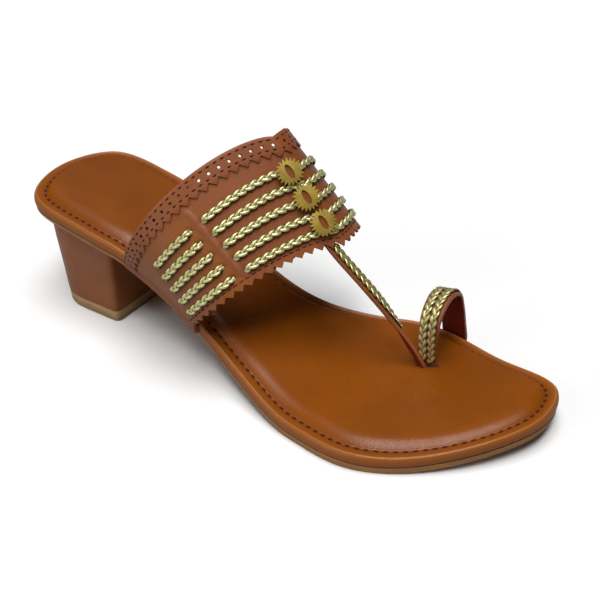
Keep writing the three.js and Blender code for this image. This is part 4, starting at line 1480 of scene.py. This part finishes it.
class SANDAL_OT_toe_straps(Operator):
    """Toe strap and toe loop, with their braids"""

    bl_idname = "sandal.toe_straps"
    bl_label = "Toe Straps"

    def execute(self, context):
        trim = context.scene.sandal_trim
        tones = context.scene.sandal_leather
        on_strap = (strap_line(), strap_across, strap_widths, STRAP_THICKNESS, 1)
        on_loop = (loop_line(), loop_across, loop_widths, LOOP_THICKNESS, -1)
        self.strap("toe_strap_leather", *on_strap, STRAP_ROWS, tones)
        self.strap("toe_loop_leather", *on_loop, LOOP_ROWS, tones)
        braids = [
            ("toe_strap_braid", on_strap, STRAP_BRAID, trim.strap_period),
            ("toe_loop_braid_rear", on_loop, LOOP_BRAID_REAR, trim.loop_period),
            ("toe_loop_braid_front", on_loop, LOOP_BRAID_FRONT, trim.loop_period),
        ]
        for name, (line, across, widths, thickness, face), (shift, share, ends), period in braids:
            whole = respaced(line, BRAID_POINTS + 1)
            first, last = (round(end * BRAID_POINTS) for end in ends)
            stretch = slice(first, last + 1)
            wide = widths(np.linspace(0, 1, BRAID_POINTS + 1))[stretch]
            side = across(whole)[stretch]
            run = whole[stretch]
            out = unit(np.cross(np.gradient(run, axis=0), side)) * face
            base = run + side * (shift * wide)[:, None] + out * thickness / 2
            piece = braid(f"{name}_strands", base, out, share * wide, FIT_GAP + BRAID_HEIGHT, period / MM)
            dressed(piece, [braid_finish("gold toe braid", trim.toe_braid)], 70, "gold_braid", name)
        self.slit(tones)
        return {"FINISHED"}

    @staticmethod
    def strap(name, line, across, widths, thickness, face, rows, tones):
        """One leather strap, lined in red on its inner face."""
        piece = ribbon(name, line, across, widths, thickness, rows)
        lined = piece.data.attributes["face"].data
        facing = [sum(lined[i].value for i in p.vertices) * face for p in piece.data.polygons]
        inside = np.array(facing) < LINED_BELOW
        piece.data.polygons.foreach_set("material_index", inside.astype(np.int32))
        outside = material_once("strap leather", leather, tones.band, roughness=0.36, coat=0.3)
        dressed(piece, [outside, lining_finish(tones)], 60, "band_leather", "upper")

    @staticmethod
    def slit(tones):
        """Dark lips of the footbed's slit that the strap and the loop's post go into: a dark piece painting
        the contact shadow in the slot.
        """
        start, end = np.array(TOE_SLIT)
        along = unit(end - start)
        beside = np.array([-along[1], along[0]])
        width, rise = TOE_SLIT_LIP
        power, least = TOE_SLIT_TAPER

        def place(u, v):
            angle = 2 * math.pi * u
            full = np.sqrt(np.maximum(1 - (2 * v - 1) ** power, least))
            plan = lerp(start, end, v[:, None]) + beside * (np.cos(angle) * width * full)[:, None]
            level = bed_underside(plan[:, 0]) + PILLOW_HEIGHT - TOE_SLIT_SINK
            return np.column_stack([plan, level + np.sin(angle) * rise * full])

        # The slit's dark piece is painted in the shade colour
        lips = material_once("slit leather", leather, tones.groove, roughness=0.6, coat=0.0)
        piece = tube("toe_slit_lips", *TOE_SLIT_GRID, place)
        dressed(piece, [lips], 70, "footbed_leather", "footbed")


class SANDAL_OT_stitching(Operator):
    """Stitches in the footbed's groove and along the band's front edge"""

    bl_idname = "sandal.stitching"
    bl_label = "Stitching"

    def execute(self, context):
        trim = context.scene.sandal_trim
        ring = respaced(outline_ring(GROOVE_INSET), BED_STITCH_POINTS, closed=True)
        ring = np.vstack([ring, ring[:1]])
        line = np.column_stack([ring, bed_underside(ring[:, 0]) + GROOVE_LIFT - BED_STITCH_SINK])
        up = np.tile([0.0, 0.0, 1.0], (len(line), 1))
        sewn("footbed_stitches", line, up, trim.stitch_pitch, trim.stitch_length, BED_STITCH_WIDTH * MM)
        sewn_over_band("band_stitches", BAND_STITCH_DEPTH, WALL / 2, BAND_STITCH_ROW, BAND_STITCH)
        return {"FINISHED"}


class SANDAL_OT_stage(Operator):
    """Plain pale floor, soft studio light and the camera"""

    bl_idname = "sandal.stage"
    bl_label = "Stage"

    def execute(self, context):
        scene = context.scene
        stage = scene.sandal_stage
        bpy.ops.object.select_all(action="DESELECT")
        bpy.ops.mesh.primitive_circle_add(vertices=FLOOR_SIDES, radius=FLOOR_RADIUS, fill_type="NGON")
        floor = bpy.context.object
        floor.name = "floor"
        floor.data.materials.append(floor_material("studio floor", stage.floor))
        for name, (place, spread) in LIGHTS.items():
            self.soft_light(scene, name, place, spread, getattr(stage, name))
        world = bpy.data.worlds.new("studio")
        world.use_nodes = True
        background = world.node_tree.nodes["Background"]
        background.inputs["Color"].default_value = ROOM_COLOUR
        background.inputs["Strength"].default_value = ROOM_LIGHT
        scene.world = world
        scene.view_settings.view_transform = "Standard"
        scene.camera = self.camera(scene, stage.lens)
        return {"FINISHED"}

    @staticmethod
    def camera(scene, lens):
        """Camera at the height, turn and distance of an eye over the toe."""
        camera = bpy.data.objects.new("camera", bpy.data.cameras.new("camera"))
        scene.collection.objects.link(camera)
        camera.location = to_frame(CAMERA_PLACE)
        turn, tip, roll = (math.radians(angle) for angle in CAMERA_ANGLES)
        look = Euler((math.pi / 2 - tip, 0, turn)).to_matrix() @ Euler((0, 0, roll)).to_matrix()
        camera.rotation_euler = look.to_euler()
        camera.data.shift_x, camera.data.shift_y = CAMERA_SHIFT
        camera.data.sensor_width = SENSOR_WIDTH
        camera.data.lens = lens
        camera.data.clip_start = CLIP_START
        return camera

    @staticmethod
    def soft_light(scene, name, place, spread, strength):
        """Even light from far off, facing the sandal from the side of a place."""
        light = bpy.data.lights.new(name, "SUN")
        light.angle = math.radians(spread)
        light.energy = strength
        lamp = bpy.data.objects.new(name, light)
        scene.collection.objects.link(lamp)
        lamp.location = place
        lamp.rotation_euler = (-Vector(place)).to_track_quat("-Z", "Y").to_euler()


PIECES = (
    SANDAL_OT_outsole, SANDAL_OT_heel, SANDAL_OT_footbed, SANDAL_OT_band, SANDAL_OT_collar_trim,
    SANDAL_OT_cords, SANDAL_OT_medallions, SANDAL_OT_toe_straps, SANDAL_OT_stitching, SANDAL_OT_stage,
)
GROUPS = {
    "sandal_leather": SandalLeather, "sandal_trim": SandalTrim, "sandal_sole": SandalSole,
    "sandal_stage": SandalStage,
}


class SANDAL_PT_build(Panel):
    """Pieces of the sandal in the order of making"""

    bl_label = "Sandal"
    bl_idname = "SANDAL_PT_build"
    bl_space_type = "VIEW_3D"
    bl_region_type = "UI"
    bl_category = "Sandal"

    def draw(self, context):
        for settings, group in GROUPS.items():
            box = self.layout.box()
            for key in group.__annotations__:
                box.prop(getattr(context.scene, settings), key)
        for operator in PIECES:
            self.layout.operator(operator.bl_idname)


def register():
    for kind in (*GROUPS.values(), *PIECES, SANDAL_PT_build):
        bpy.utils.register_class(kind)
    for name, group in GROUPS.items():
        setattr(bpy.types.Scene, name, PointerProperty(type=group))


def unregister():
    for name in GROUPS:
        delattr(bpy.types.Scene, name)
    for kind in (SANDAL_PT_build, *reversed(PIECES), *reversed(GROUPS.values())):
        bpy.utils.unregister_class(kind)


def main():
    register()
    for piece in PIECES:
        group, name = piece.bl_idname.split(".")
        getattr(getattr(bpy.ops, group), name)()


if __name__ == "__main__":
    main()
